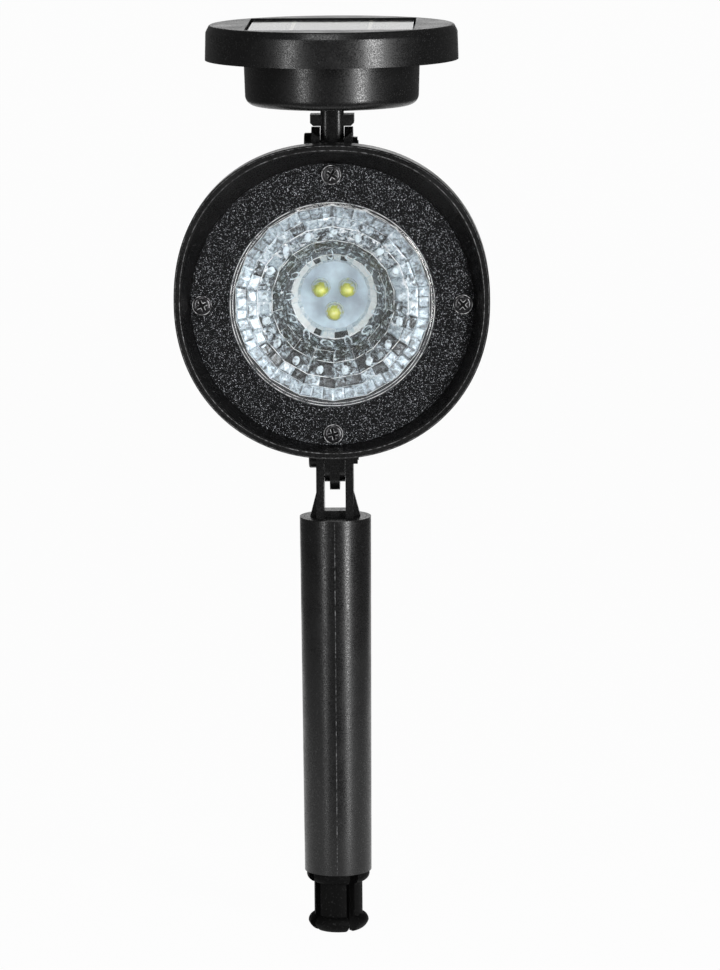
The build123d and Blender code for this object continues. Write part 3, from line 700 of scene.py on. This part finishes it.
class STAKE_OT_window(Piece):
    """Clear front window with its bevel and flange"""
    bl_idname = "stake.window"
    bl_label = "Front Window"

    def execute(self, context):
        size = context.scene.stake_optics
        front, back = LENS_FRONT_Y, LENS_BACK_Y
        r, bevel = size.window_r, size.bevel
        bm = bmesh.new()
        turned(bm, [
            (0.0, front), (r - bevel - 0.15 * MM, front), (r - bevel, front + 0.05 * MM),
            (r - 0.1 * MM, front + bevel * 0.5), (r, front + bevel * 0.6), (r, BEZEL_BACK_Y),
            (FLANGE_R, BEZEL_BACK_Y), (FLANGE_R, back), (0.0, back),
        ], LENS_Z, 160)
        piece = bm_piece("front_window", bm)
        sharpen(piece, 30)
        set_material(piece, MATERIALS["clear_lens"])
        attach(piece, "lamp_head")
        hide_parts("lens")
        return {"FINISHED"}


class STAKE_OT_reflector(Piece):
    """Reflector with rings of flat facets, a deep cone and a small cup"""
    bl_idname = "stake.reflector"
    bl_label = "Faceted Reflector"

    def execute(self, context):
        size = context.scene.stake_optics
        front, back = REFLECTOR_FRONT_Y, REFLECTOR_BACK_Y
        step_y, belt_y, well_y = (front + depth * MM for depth in (1.0, 2.0, 4.6))
        scallop_y = well_y + 5.6 * MM
        throat_y = back - 3.4 * MM
        collar_y = throat_y + 1.5 * MM
        draw = random.Random(7)
        # outer radius, y, inner radius, y, cells per side, facet height, kind
        rows = (
            (size.rim_r, front, size.step_r, step_y, 3, 0.22 * MM, "pale"),
            (size.step_r, step_y, size.belt_r, belt_y, 2, 0.40 * MM, "blocks"),
            (size.belt_r, belt_y, size.well_r, well_y, 2, 0.45 * MM, "gems"),
            (size.well_r, well_y, size.scallop_r, scallop_y, 1, 0.3 * MM, "well"),
            (size.scallop_r, scallop_y, size.throat_r, throat_y, 1, 0.25 * MM, "well"),
            (size.throat_r, throat_y, size.collar_r, collar_y, 2, 0.06 * MM, "collar"),
            (size.collar_r, collar_y, size.cup_r, back, 2, 0.05 * MM, "cup"),
        )
        bm = bmesh.new()
        tone = bm.faces.layers.float.new("tone")
        grit = bm.faces.layers.float.new("grit")
        for row in rows:
            self.facet_row(bm, tone, grit, draw, size.sides, row)
        bmesh.ops.remove_doubles(bm, verts=bm.verts, dist=1e-6)
        self.back_shell(bm, size, tone, front, back, throat_y)
        piece = bm_piece("faceted_reflector", bm, smooth=False)
        set_material(piece, MATERIALS["bright_reflector"])
        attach(piece, "lamp_head")
        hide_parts("reflector")
        return {"FINISHED"}

    @staticmethod
    def corner(r, y, share, sides):
        """Point on a flat-sided ring at a share of the full turn."""
        step = 2 * math.pi / sides
        k = math.floor(share * sides)
        t = share * sides - k
        a, b = k * step, (k + 1) * step
        x = (1 - t) * math.sin(a) + t * math.sin(b)
        z = (1 - t) * math.cos(a) + t * math.cos(b)
        return Vector((r * x, y, LENS_Z + r * z))

    def facet_row(self, bm, tone, grit, draw, sides, row):
        """One ring of cells, each a low pyramid with its own tone and grit."""
        outer, outer_y, inner, inner_y, split, height, kind = row
        cells = sides * split
        for i in range(cells):
            ring = [self.corner(outer, outer_y, i / cells, sides),
                    self.corner(outer, outer_y, (i + 1) / cells, sides),
                    self.corner(inner, inner_y, (i + 1) / cells, sides),
                    self.corner(inner, inner_y, i / cells, sides)]
            base, rough = facet_reflection_tone(kind, draw, i, (i + 0.5) / cells)
            centre = sum(ring, Vector()) / 4
            lean = Vector((draw.uniform(-1, 1), 0, draw.uniform(-1, 1))) * height
            inset = [c.lerp(centre, 0.30) + Vector((0, -height, 0)) + lean * 0.5 for c in ring]
            outer_v = [bm.verts.new(p) for p in ring]
            inner_v = [bm.verts.new(p) for p in inset]
            top = bm.faces.new(inner_v)
            top[tone], top[grit] = base, rough
            for k in range(4):
                n = (k + 1) % 4
                side = bm.faces.new((outer_v[k], outer_v[n], inner_v[n], inner_v[k]))
                side[tone] = min(1.0, max(0.0, base + draw.uniform(-0.16, 0.2)))
                side[grit] = rough

    @staticmethod
    def back_shell(bm, size, tone, front, back, throat_y):
        """Flange and outer skin, so that the reflector is a closed solid shape."""
        first = len(bm.faces)
        wall = 1.1 * MM
        turned(bm, [
            (FLANGE_R, front), (FLANGE_R, front + wall), (size.rim_r + 0.5 * MM, front + wall),
            (size.well_r + 1.5 * MM, front + 5.8 * MM), (size.throat_r + 1.5 * MM, throat_y),
            (size.cup_r + wall, back), (size.cup_r + 0.02 * MM, back),
            (size.throat_r + 0.9 * MM, throat_y + 0.3 * MM),
            (size.well_r + 0.7 * MM, front + 5.2 * MM),
            (size.rim_r + 0.1 * MM, front + 0.35 * MM), (size.rim_r + 0.1 * MM, front),
        ], LENS_Z, 80)
        bm.faces.ensure_lookup_table()
        for i in range(first, len(bm.faces)):
            bm.faces[i][tone] = 0.12


def facet_reflection_tone(kind, draw, i, turn):
    """Tone of a facet, a painted reflection from black (0) to white (1), and how gritty it
    looks.
    """
    chance = draw.random()
    low = max(0.0, -math.cos(2 * math.pi * turn))       # 1 at the bottom
    high = max(0.0, math.cos(2 * math.pi * turn))       # 1 at the top
    if kind == "pale":
        return 0.50 + 0.12 * chance, 0.45
    if kind == "blocks":
        # painted shade: every other block is dark at the bottom of the ring
        if low > 0.45 and i % 2 == 0:
            return 0.10 + 0.12 * chance, 0.5
        return (0.28, 0.7) if chance < 0.14 else (0.54 + 0.17 * chance, 0.6)
    if kind == "gems":
        # painted reflection: paler gems at the top
        if high > 0.6:
            return 0.48 + 0.12 * chance, 1.0
        # painted shade: darker gems at the bottom
        if low > 0.5:
            return (0.14, 0.5) if i % 3 == 0 else (0.30 + 0.1 * chance, 0.9)
        return (0.66, 0.4) if chance < 0.28 else (0.34 + 0.1 * chance, 0.9)
    if kind == "well":
        return 0.16 + 0.14 * chance, 1.0
    if kind == "collar":
        side = abs(math.sin(2 * math.pi * turn))
        # painted highlight: the collar is white at its left and right
        if side > 0.55:
            return 0.98, 0.1
        return (0.85, 0.3) if chance < 0.45 else (0.12, 0.4)
    return 0.72 + 0.1 * chance, 0.3


class STAKE_OT_facet_lines(Piece):
    """Moulded edges between the rows of facets and round the window, with painted highlights
    along them
    """
    bl_idname = "stake.facet_lines"
    bl_label = "Facet Lines"

    def execute(self, context):
        size = context.scene.stake_optics
        front = REFLECTOR_FRONT_Y
        bm = bmesh.new()
        glass = LENS_FRONT_Y
        for radius, y, wire, sides in (
            (size.rim_r, front - 0.1 * MM, 0.09 * MM, size.sides),
            (size.step_r, front + 0.7 * MM, 0.05 * MM, size.sides),
            (size.belt_r - 0.05 * MM, front + 1.6 * MM, 0.13 * MM, size.sides),
            (size.well_r - 0.2 * MM, front + 4.2 * MM, 0.11 * MM, size.sides),
            (size.scallop_r + 1.0 * MM, front + 8.6 * MM, 0.05 * MM, size.sides),
            (size.throat_r - 0.1 * MM, REFLECTOR_BACK_Y - 3.7 * MM, 0.18 * MM, 40),
            (size.window_r - 1.05 * MM, glass - 0.02 * MM, 0.07 * MM, 128),
            (size.window_r - 0.25 * MM, glass + 0.10 * MM, 0.08 * MM, 128),
        ):
            hoop(bm, radius, y, wire, sides, LENS_Z)
        piece = bm_piece("facet_lines", bm)
        set_material(piece, MATERIALS["facet_edge"])
        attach(piece, "lamp_head")
        self.spokes(size, front)
        self.scallops(size)
        return {"FINISHED"}

    @staticmethod
    def spokes(size, front):
        """Radial edges down the cone, each on a corner of the flat sides, with painted
        highlights.
        """
        bm = bmesh.new()
        draw = random.Random(3)
        for i in range(size.sides):
            if draw.random() < 0.35:
                continue
            a = 2 * math.pi * i / size.sides
            way = Vector((math.sin(a), 0, math.cos(a)))
            out = size.well_r * way + Vector((0, front + 4.5 * MM, LENS_Z))
            reach = draw.uniform(0.45, 1.0)
            inner = size.scallop_r * way + Vector((0, front + 10.1 * MM, LENS_Z))
            end = out.lerp(inner, reach)
            side = Vector((way.z, 0, -way.x)) * 0.11 * MM
            lift = Vector((0, -0.30 * MM, 0)) - way * 0.30 * MM
            bar(bm, *((p + side, p - side, p + lift) for p in (out, end)))
        piece = bm_piece("cone_edges", bm, smooth=False)
        set_material(piece, MATERIALS["facet_edge"])
        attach(piece, "lamp_head")

    @staticmethod
    def scallops(size):
        """Small moulded loops round the throat of the cone."""
        bm = bmesh.new()
        hoop(bm, 0.85 * MM, 0.0, 0.17 * MM, 20, squash=1.9)
        seed = bm_piece("loop_seed", bm)
        piece = grow(seed, "throat_loops", circle_tree(), "bright_reflector",
                     count=size.loop_count, radius=size.throat_r + 0.9 * MM, start_angle=0.2,
                     spin=3.0, seed=8, place=Vector((0, REFLECTOR_FRONT_Y + 10.8 * MM, LENS_Z)),
                     material=MATERIALS["bead"])
        piece.data.shade_smooth()
        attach(piece, "lamp_head")


class STAKE_OT_beads(Piece):
    """Small clear beads moulded round the belt of the reflector"""
    bl_idname = "stake.beads"
    bl_label = "Reflector Beads"

    def execute(self, context):
        size = context.scene.stake_optics
        bm = bmesh.new()
        bmesh.ops.create_uvsphere(bm, u_segments=16, v_segments=10, radius=0.95 * MM)
        bmesh.ops.scale(bm, vec=(1.1, 0.6, 1.5), verts=bm.verts)
        seed = bm_piece("bead_seed", bm)
        r = (size.belt_r + size.well_r) / 2
        piece = grow(seed, "reflector_beads", circle_tree(), "bright_reflector",
                     count=size.bead_count, radius=r, start_angle=0.08, spin=1.2, seed=4,
                     place=Vector((0, REFLECTOR_FRONT_Y + 2.2 * MM, LENS_Z)),
                     material=MATERIALS["bead"])
        piece.data.shade_smooth()
        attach(piece, "lamp_head")
        return {"FINISHED"}


class STAKE_OT_light_sources(Piece):
    """Resin domes of the light sources with their rims"""
    bl_idname = "stake.light_sources"
    bl_label = "Light Sources"

    def execute(self, context):
        size = context.scene.stake_optics
        r, base_y = size.led_r, BOARD_FRONT_Y
        profile = [(0.0, LED_TOP_Y)]
        steps = 12
        for i in range(1, steps + 1):
            a = math.pi / 2 * i / steps
            profile.append((r * math.sin(a), LED_TOP_Y + r - r * math.cos(a)))
        profile += [(r, base_y - 1.1 * MM), (r + 0.4 * MM, base_y - 1.0 * MM),
                    (r + 0.45 * MM, base_y), (0.0, base_y)]
        bm = bmesh.new()
        turned(bm, profile, segments=48)
        spot = bm.verts.layers.float.new("spot")
        for vert in bm.verts:
            vert[spot] = min(1.0, math.hypot(vert.co.x, vert.co.z) / (r + 0.4 * MM))
        seed = bm_piece("dome_seed", bm)
        piece = grow(seed, "light_sources", circle_tree(), "led_resin", count=3,
                     radius=size.led_pitch_r, start_angle=-math.pi / 2, spin=0.0, seed=1,
                     place=Vector((0, 0, LENS_Z)), material=MATERIALS["led_resin"])
        sharpen(piece, 40)
        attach(piece, "lamp_head")
        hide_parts("leds")
        return {"FINISHED"}


class STAKE_OT_bezel_screws(Piece):
    """Cross-head screws round the bezel"""
    bl_idname = "stake.bezel_screws"
    bl_label = "Bezel Screws"

    def execute(self, context):
        size = context.scene.stake_hardware
        r, top, rest = size.screw_head_r, SCREW_FRONT_Y, BEZEL_FRONT_Y
        rise = rest - top
        bm = bmesh.new()
        turned(bm, [
            (0.0, top), (r * 0.55, top + rise * 0.04), (r * 0.8, top + rise * 0.2),
            (r * 0.94, top + rise * 0.5), (r, top + rise * 0.85), (r, rest),
            (1.4 * MM, rest), (1.4 * MM, SCREW_BACK_Y - 0.3 * MM), (1.1 * MM, SCREW_BACK_Y),
            (0.0, SCREW_BACK_Y),
        ], segments=48)
        seed = bm_piece("screw_seed", bm)
        self.cut_cross(seed, r, top, rise)
        sharpen(seed, 35)
        screw_low, screw_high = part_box("bezel_screws")
        array = dict(count=size.screw_count, radius=(screw_high[0] - screw_low[0]) / 2 - r,
                     start_angle=0.0, spin=1.4, seed=11, place=Vector((0, 0, LENS_Z)))
        piece = grow(seed, "cross_head_screws", circle_tree(), "black_screw",
                     material=MATERIALS["black_screw"], **array)
        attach(piece, "lamp_head")
        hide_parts("bezel_screws")
        # painted highlights: bright strips on each head's rim and cross
        edges = grow(self.edge_seed(r, top, rise), "screw_edges", circle_tree(), "black_screw",
                     material=MATERIALS["glint"], **array)
        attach(edges, "lamp_head")
        return {"FINISHED"}

    @staticmethod
    def edge_seed(r, top, rise):
        """Painted highlights on one head: along its rim and both sides of the cross."""
        bm = bmesh.new()
        hoop(bm, r * 0.93, top + rise * 0.44, 0.10 * MM, 40)
        for turn in range(4):
            for side in (-1, 1):
                placed_cube(bm, lambda co: Vector((
                    co.x * r * 0.38 + r * 0.35, top + co.y * 0.1 * MM,
                    co.z * 0.17 * MM + side * r * 0.16)), turn * math.pi / 2)
        return bm_piece("edge_seed", bm, smooth=False)

    @staticmethod
    def cut_cross(seed, r, top, rise):
        """Cuts the cross recess, tapered like a driver's tip."""
        def corner(co):
            if co.y > 0:
                return Vector((co.x * r * 0.62, top + rise * 0.8, co.z * r * 0.16))
            return Vector((co.x * r * 1.12, top - rise * 0.3, co.z * r * 0.27))

        bm = bmesh.new()
        for turn in (0, math.pi / 2):
            placed_cube(bm, corner, turn)
        cutter = bm_piece("cross_cutter", bm, smooth=False)
        modifier = seed.modifiers.new("Cross", "BOOLEAN")
        modifier.object = cutter
        modifier.solver = "EXACT"
        modifier.use_self = True
        depsgraph = bpy.context.evaluated_depsgraph_get()
        mesh = bpy.data.meshes.new_from_object(seed.evaluated_get(depsgraph))
        seed.modifiers.clear()
        seed.data = mesh
        bpy.data.objects.remove(cutter, do_unlink=True)


class STAKE_OT_cell_grid(Piece):
    """Fine lines and busbars on the solar cell"""
    bl_idname = "stake.cell_grid"
    bl_label = "Cell Grid"

    def execute(self, context):
        size = context.scene.stake_hardware
        lift = 0.03 * MM
        span = 2 * CELL_HALF - 2.0 * MM
        step = span / (size.finger_count - 1)
        self.lines("cell_fingers", Vector((span, size.finger_width, lift)), size.finger_count,
                   Vector((0, -span / 2, CELL_TOP_Z + lift)), Vector((0, step, 0)))
        self.lines("cell_busbars", Vector((size.busbar_width, span + 0.6 * MM, lift * 1.5)), 2,
                   Vector((-span / 4, 0, CELL_TOP_Z + lift)), Vector((span / 2, 0, 0)))
        return {"FINISHED"}

    @staticmethod
    def lines(name, box, count, start, step):
        bm = bmesh.new()
        bmesh.ops.create_cube(bm, size=1.0)
        bmesh.ops.scale(bm, vec=box, verts=bm.verts)
        seed = bm_piece(name + "_seed", bm, smooth=False)
        piece = grow(seed, name, line_tree(), "contact_metal", count=count, start=start,
                     step=step, material=MATERIALS["contact_metal"])
        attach(piece, "solar_head")


class STAKE_OT_mould_seam(Piece):
    """Mould seam down the front and back of the pole"""
    bl_idname = "stake.mould_seam"
    bl_label = "Mould Seam"

    def execute(self, context):
        size = context.scene.stake_hardware
        top_r = half_width("pole_tube")
        low_r, half = top_r - 0.6 * MM, size.seam_width / 2
        bm = bmesh.new()
        for side in (-1, 1):
            bar(bm, *(
                [(x, side * (r + out), z) for x, out in (
                    (-half, -0.1 * MM), (0.0, size.seam_height), (half, -0.1 * MM))]
                for z, r in ((0.25 * MM, low_r), (POLE_TOP_Z - 0.25 * MM, top_r))))
        piece = bm_piece("mould_seam", bm, smooth=False)
        set_material(piece, MATERIALS["worn_edge"])
        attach(piece, "pole")
        return {"FINISHED"}


class STAKE_OT_rim_lines(Piece):
    """Painted highlights along the edges round the rim of the lamp head"""
    bl_idname = "stake.rim_lines"
    bl_label = "Rim Edges"

    def execute(self, context):
        size = context.scene.stake_hardware
        low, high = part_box("lamp_housing")
        half = (high[0] - low[0]) / 2
        bm = bmesh.new()
        # painted highlights: pale lines along the rim's inner lip and outer edge
        self.outline(bm, size, half - size.rim_wall + 0.3 * MM, low[1] + 0.08 * MM, 0.14 * MM)
        self.outline(bm, size, half - 0.38 * MM, low[1] + 0.05 * MM, 0.09 * MM)
        piece = bm_piece("rim_edges", bm)
        set_material(piece, MATERIALS["worn_edge"])
        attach(piece, "lamp_head")
        return {"FINISHED"}

    @staticmethod
    def outline(bm, size, half, y, wire):
        """Thin line that follows the rim, squarer above than below."""
        def place(a, out):
            power = size.hood_power if math.sin(a) > 0 else size.chin_power
            reach = (abs(math.cos(a)) ** power + abs(math.sin(a)) ** power) ** (-1 / power)
            r = half * reach + out
            return r * math.cos(a), LENS_Z + size.rim_lift + r * math.sin(a)

        wire_loop(bm, 160, y, wire, place)


class STAKE_OT_studio(Piece):
    """Pale floor and backdrop, softboxes and camera"""
    bl_idname = "stake.studio"
    bl_label = "Studio"

    # name, property of its power, place, point it faces, width, height
    LAMPS = (
        ("key_softbox", "key_power", (0.74, -0.88, 0.26), (0, 0, 0.14), 0.25, 0.92),
        ("fill_softbox", "fill_power", (-0.67, -0.92, 0.26), (0, 0, 0.14), 0.22, 0.92),
        ("top_softbox", "top_power", (-0.1, -0.75, 0.95), (0, 0, 0.17), 0.5, 0.35),
    )
    FLOOR_HALF, FLOOR_FRONT_Y, FLOOR_BACK_Y = 0.30, -0.14, 1.6
    CURVE_R, BACKDROP_H = 0.5, 2.4
    FLOOR_GLOW = 0.97        # the rest is lit, and keeps the object's shadow
    WORLD_DIM = 0.08         # strength of the world as light
    WORLD_GLOSS = 0.05       # share of its white that shows in gloss

    def execute(self, context):
        studio = context.scene.stake_studio
        self.floor(studio)
        self.world()
        for name, power, place, target, width, height in self.LAMPS:
            self.softbox(name, place, target, width, height, getattr(studio, power))
        self.camera(studio)
        context.scene.view_settings.view_transform = "Standard"
        return {"FINISHED"}

    def floor(self, studio):
        """Floor that curves up into a backdrop behind the object."""
        back, curve, bends = self.FLOOR_BACK_Y, self.CURVE_R, 8
        outline = [(self.FLOOR_FRONT_Y, GROUND_Z), (back - curve, GROUND_Z)]
        for i in range(1, bends + 1):
            a = math.pi / 2 * i / bends
            outline.append((back - curve + curve * math.sin(a),
                            GROUND_Z + curve - curve * math.cos(a)))
        outline.append((back, GROUND_Z + self.BACKDROP_H))
        verts = [(x, y, z) for y, z in outline for x in (-self.FLOOR_HALF, self.FLOOR_HALF)]
        faces = [(2 * i, 2 * i + 1, 2 * i + 3, 2 * i + 2) for i in range(len(outline) - 1)]
        mesh = bpy.data.meshes.new("floor")
        mesh.from_pydata(verts, [], faces)
        mesh.shade_smooth()
        mesh.materials.append(self.floor_material(studio))
        floor = bpy.data.objects.new("floor", mesh)
        bpy.context.scene.collection.objects.link(floor)

    def floor_material(self, studio):
        """Nearly white where it is seen, and clear from the side away from the object."""
        shader = Shader("studio_floor", Base_Color=tuple(studio.floor_colour), Roughness=0.8,
                        Specular_IOR_Level=0.2)
        path = shader.node("ShaderNodeLightPath").outputs
        seen = shader.math("MAXIMUM", path["Is Camera Ray"], path["Is Glossy Ray"])
        seen = shader.math("MAXIMUM", seen, path["Is Transmission Ray"])
        glow = shader.node("ShaderNodeEmission", Strength=1.0, Color=(1, 1, 1, 1))
        lit = shader.node("ShaderNodeMixShader", {
            0: shader.math("MULTIPLY", seen, self.FLOOR_GLOW),
            1: shader.bsdf.outputs[0], 2: glow.outputs[0],
        })
        sided = shader.node("ShaderNodeMixShader", {
            0: shader.node("ShaderNodeNewGeometry").outputs["Backfacing"],
            1: lit.outputs[0], 2: shader.node("ShaderNodeBsdfTransparent").outputs[0],
        })
        shader.tree.links.new(sided.outputs[0],
                              shader.tree.nodes["Material Output"].inputs["Surface"])
        return shader.material

    def world(self):
        """White where the camera sees it, dim grey as light."""
        world = bpy.data.worlds.new("studio")
        bpy.context.scene.world = world
        world.use_nodes = True
        tree = world.node_tree
        path = add_node(tree, "ShaderNodeLightPath").outputs
        gloss = add_node(tree, "ShaderNodeMath", {0: path["Is Glossy Ray"]},
                         operation="MULTIPLY")
        gloss.inputs[1].default_value = self.WORLD_GLOSS
        seen = add_node(tree, "ShaderNodeMath", {
            0: path["Is Camera Ray"], 1: path["Is Transmission Ray"],
        }, operation="MAXIMUM")
        most = add_node(tree, "ShaderNodeMath", {0: seen.outputs[0], 1: gloss.outputs[0]},
                        operation="MAXIMUM")
        strength = add_node(tree, "ShaderNodeMapRange", {"Value": most.outputs[0]},
                            To_Min=self.WORLD_DIM, To_Max=1.0)
        back = tree.nodes["Background"]
        back.inputs["Color"].default_value = (1, 1, 1, 1)
        tree.links.new(strength.outputs["Result"], back.inputs["Strength"])

    @staticmethod
    def softbox(name, place, target, width, height, power):
        """Area light that faces a target."""
        light = bpy.data.lights.new(name, "AREA")
        light.shape = "RECTANGLE"
        light.size = width
        light.size_y = height
        light.energy = power
        lamp = bpy.data.objects.new(name, light)
        lamp.location = place
        way = Vector(target) - Vector(place)
        lamp.rotation_euler = way.to_track_quat("-Z", "Y").to_euler()
        bpy.context.scene.collection.objects.link(lamp)

    @staticmethod
    def camera(studio):
        """Camera in front of the lamp, a little above it."""
        data = bpy.data.cameras.new("camera")
        data.sensor_fit = "HORIZONTAL"
        data.sensor_width = 36.0
        data.lens = studio.focal
        data.clip_end = 20.0
        camera = bpy.data.objects.new("camera", data)
        turn = (Matrix.Rotation(studio.yaw, 4, "Z")
                @ Matrix.Rotation(math.pi / 2 - studio.pitch, 4, "X")
                @ Matrix.Rotation(studio.roll, 4, "Z"))
        camera.matrix_world = Matrix.Translation(Vector(studio.place)) @ turn
        bpy.context.scene.collection.objects.link(camera)
        bpy.context.scene.camera = camera


# ---- panel and registration ------------------------------------------------

OPERATORS = (
    STAKE_OT_studio, STAKE_OT_finishes, STAKE_OT_window, STAKE_OT_reflector,
    STAKE_OT_facet_lines, STAKE_OT_beads,
    STAKE_OT_light_sources, STAKE_OT_bezel_screws, STAKE_OT_cell_grid, STAKE_OT_mould_seam,
    STAKE_OT_rim_lines,
)
GROUPS = {
    "stake_optics": STAKE_PG_optics, "stake_hardware": STAKE_PG_hardware,
    "stake_finish": STAKE_PG_finish, "stake_studio": STAKE_PG_studio,
}


class STAKE_PT_panel(Panel):
    """Lists the sizes, the colours and the steps"""
    bl_label = "Stake Light"
    bl_idname = "STAKE_PT_panel"
    bl_space_type = "VIEW_3D"
    bl_region_type = "UI"
    bl_category = "Stake Light"

    def draw(self, context):
        for name in GROUPS:
            settings = getattr(context.scene, name)
            column = self.layout.column(align=True)
            for key in settings.__annotations__:
                column.prop(settings, key)
        for operator in OPERATORS:
            self.layout.operator(operator.bl_idname)


CLASSES = (*GROUPS.values(), *OPERATORS, STAKE_PT_panel)


def register():
    for cls in CLASSES:
        bpy.utils.register_class(cls)
    for name, group in GROUPS.items():
        setattr(bpy.types.Scene, name, PointerProperty(type=group))


def unregister():
    for name in GROUPS:
        delattr(bpy.types.Scene, name)
    for cls in reversed(CLASSES):
        bpy.utils.unregister_class(cls)


def main():
    register()
    for operator in OPERATORS:
        group, step = operator.bl_idname.split(".")
        getattr(getattr(bpy.ops, group), step)()


if __name__ == "__main__":
    main()
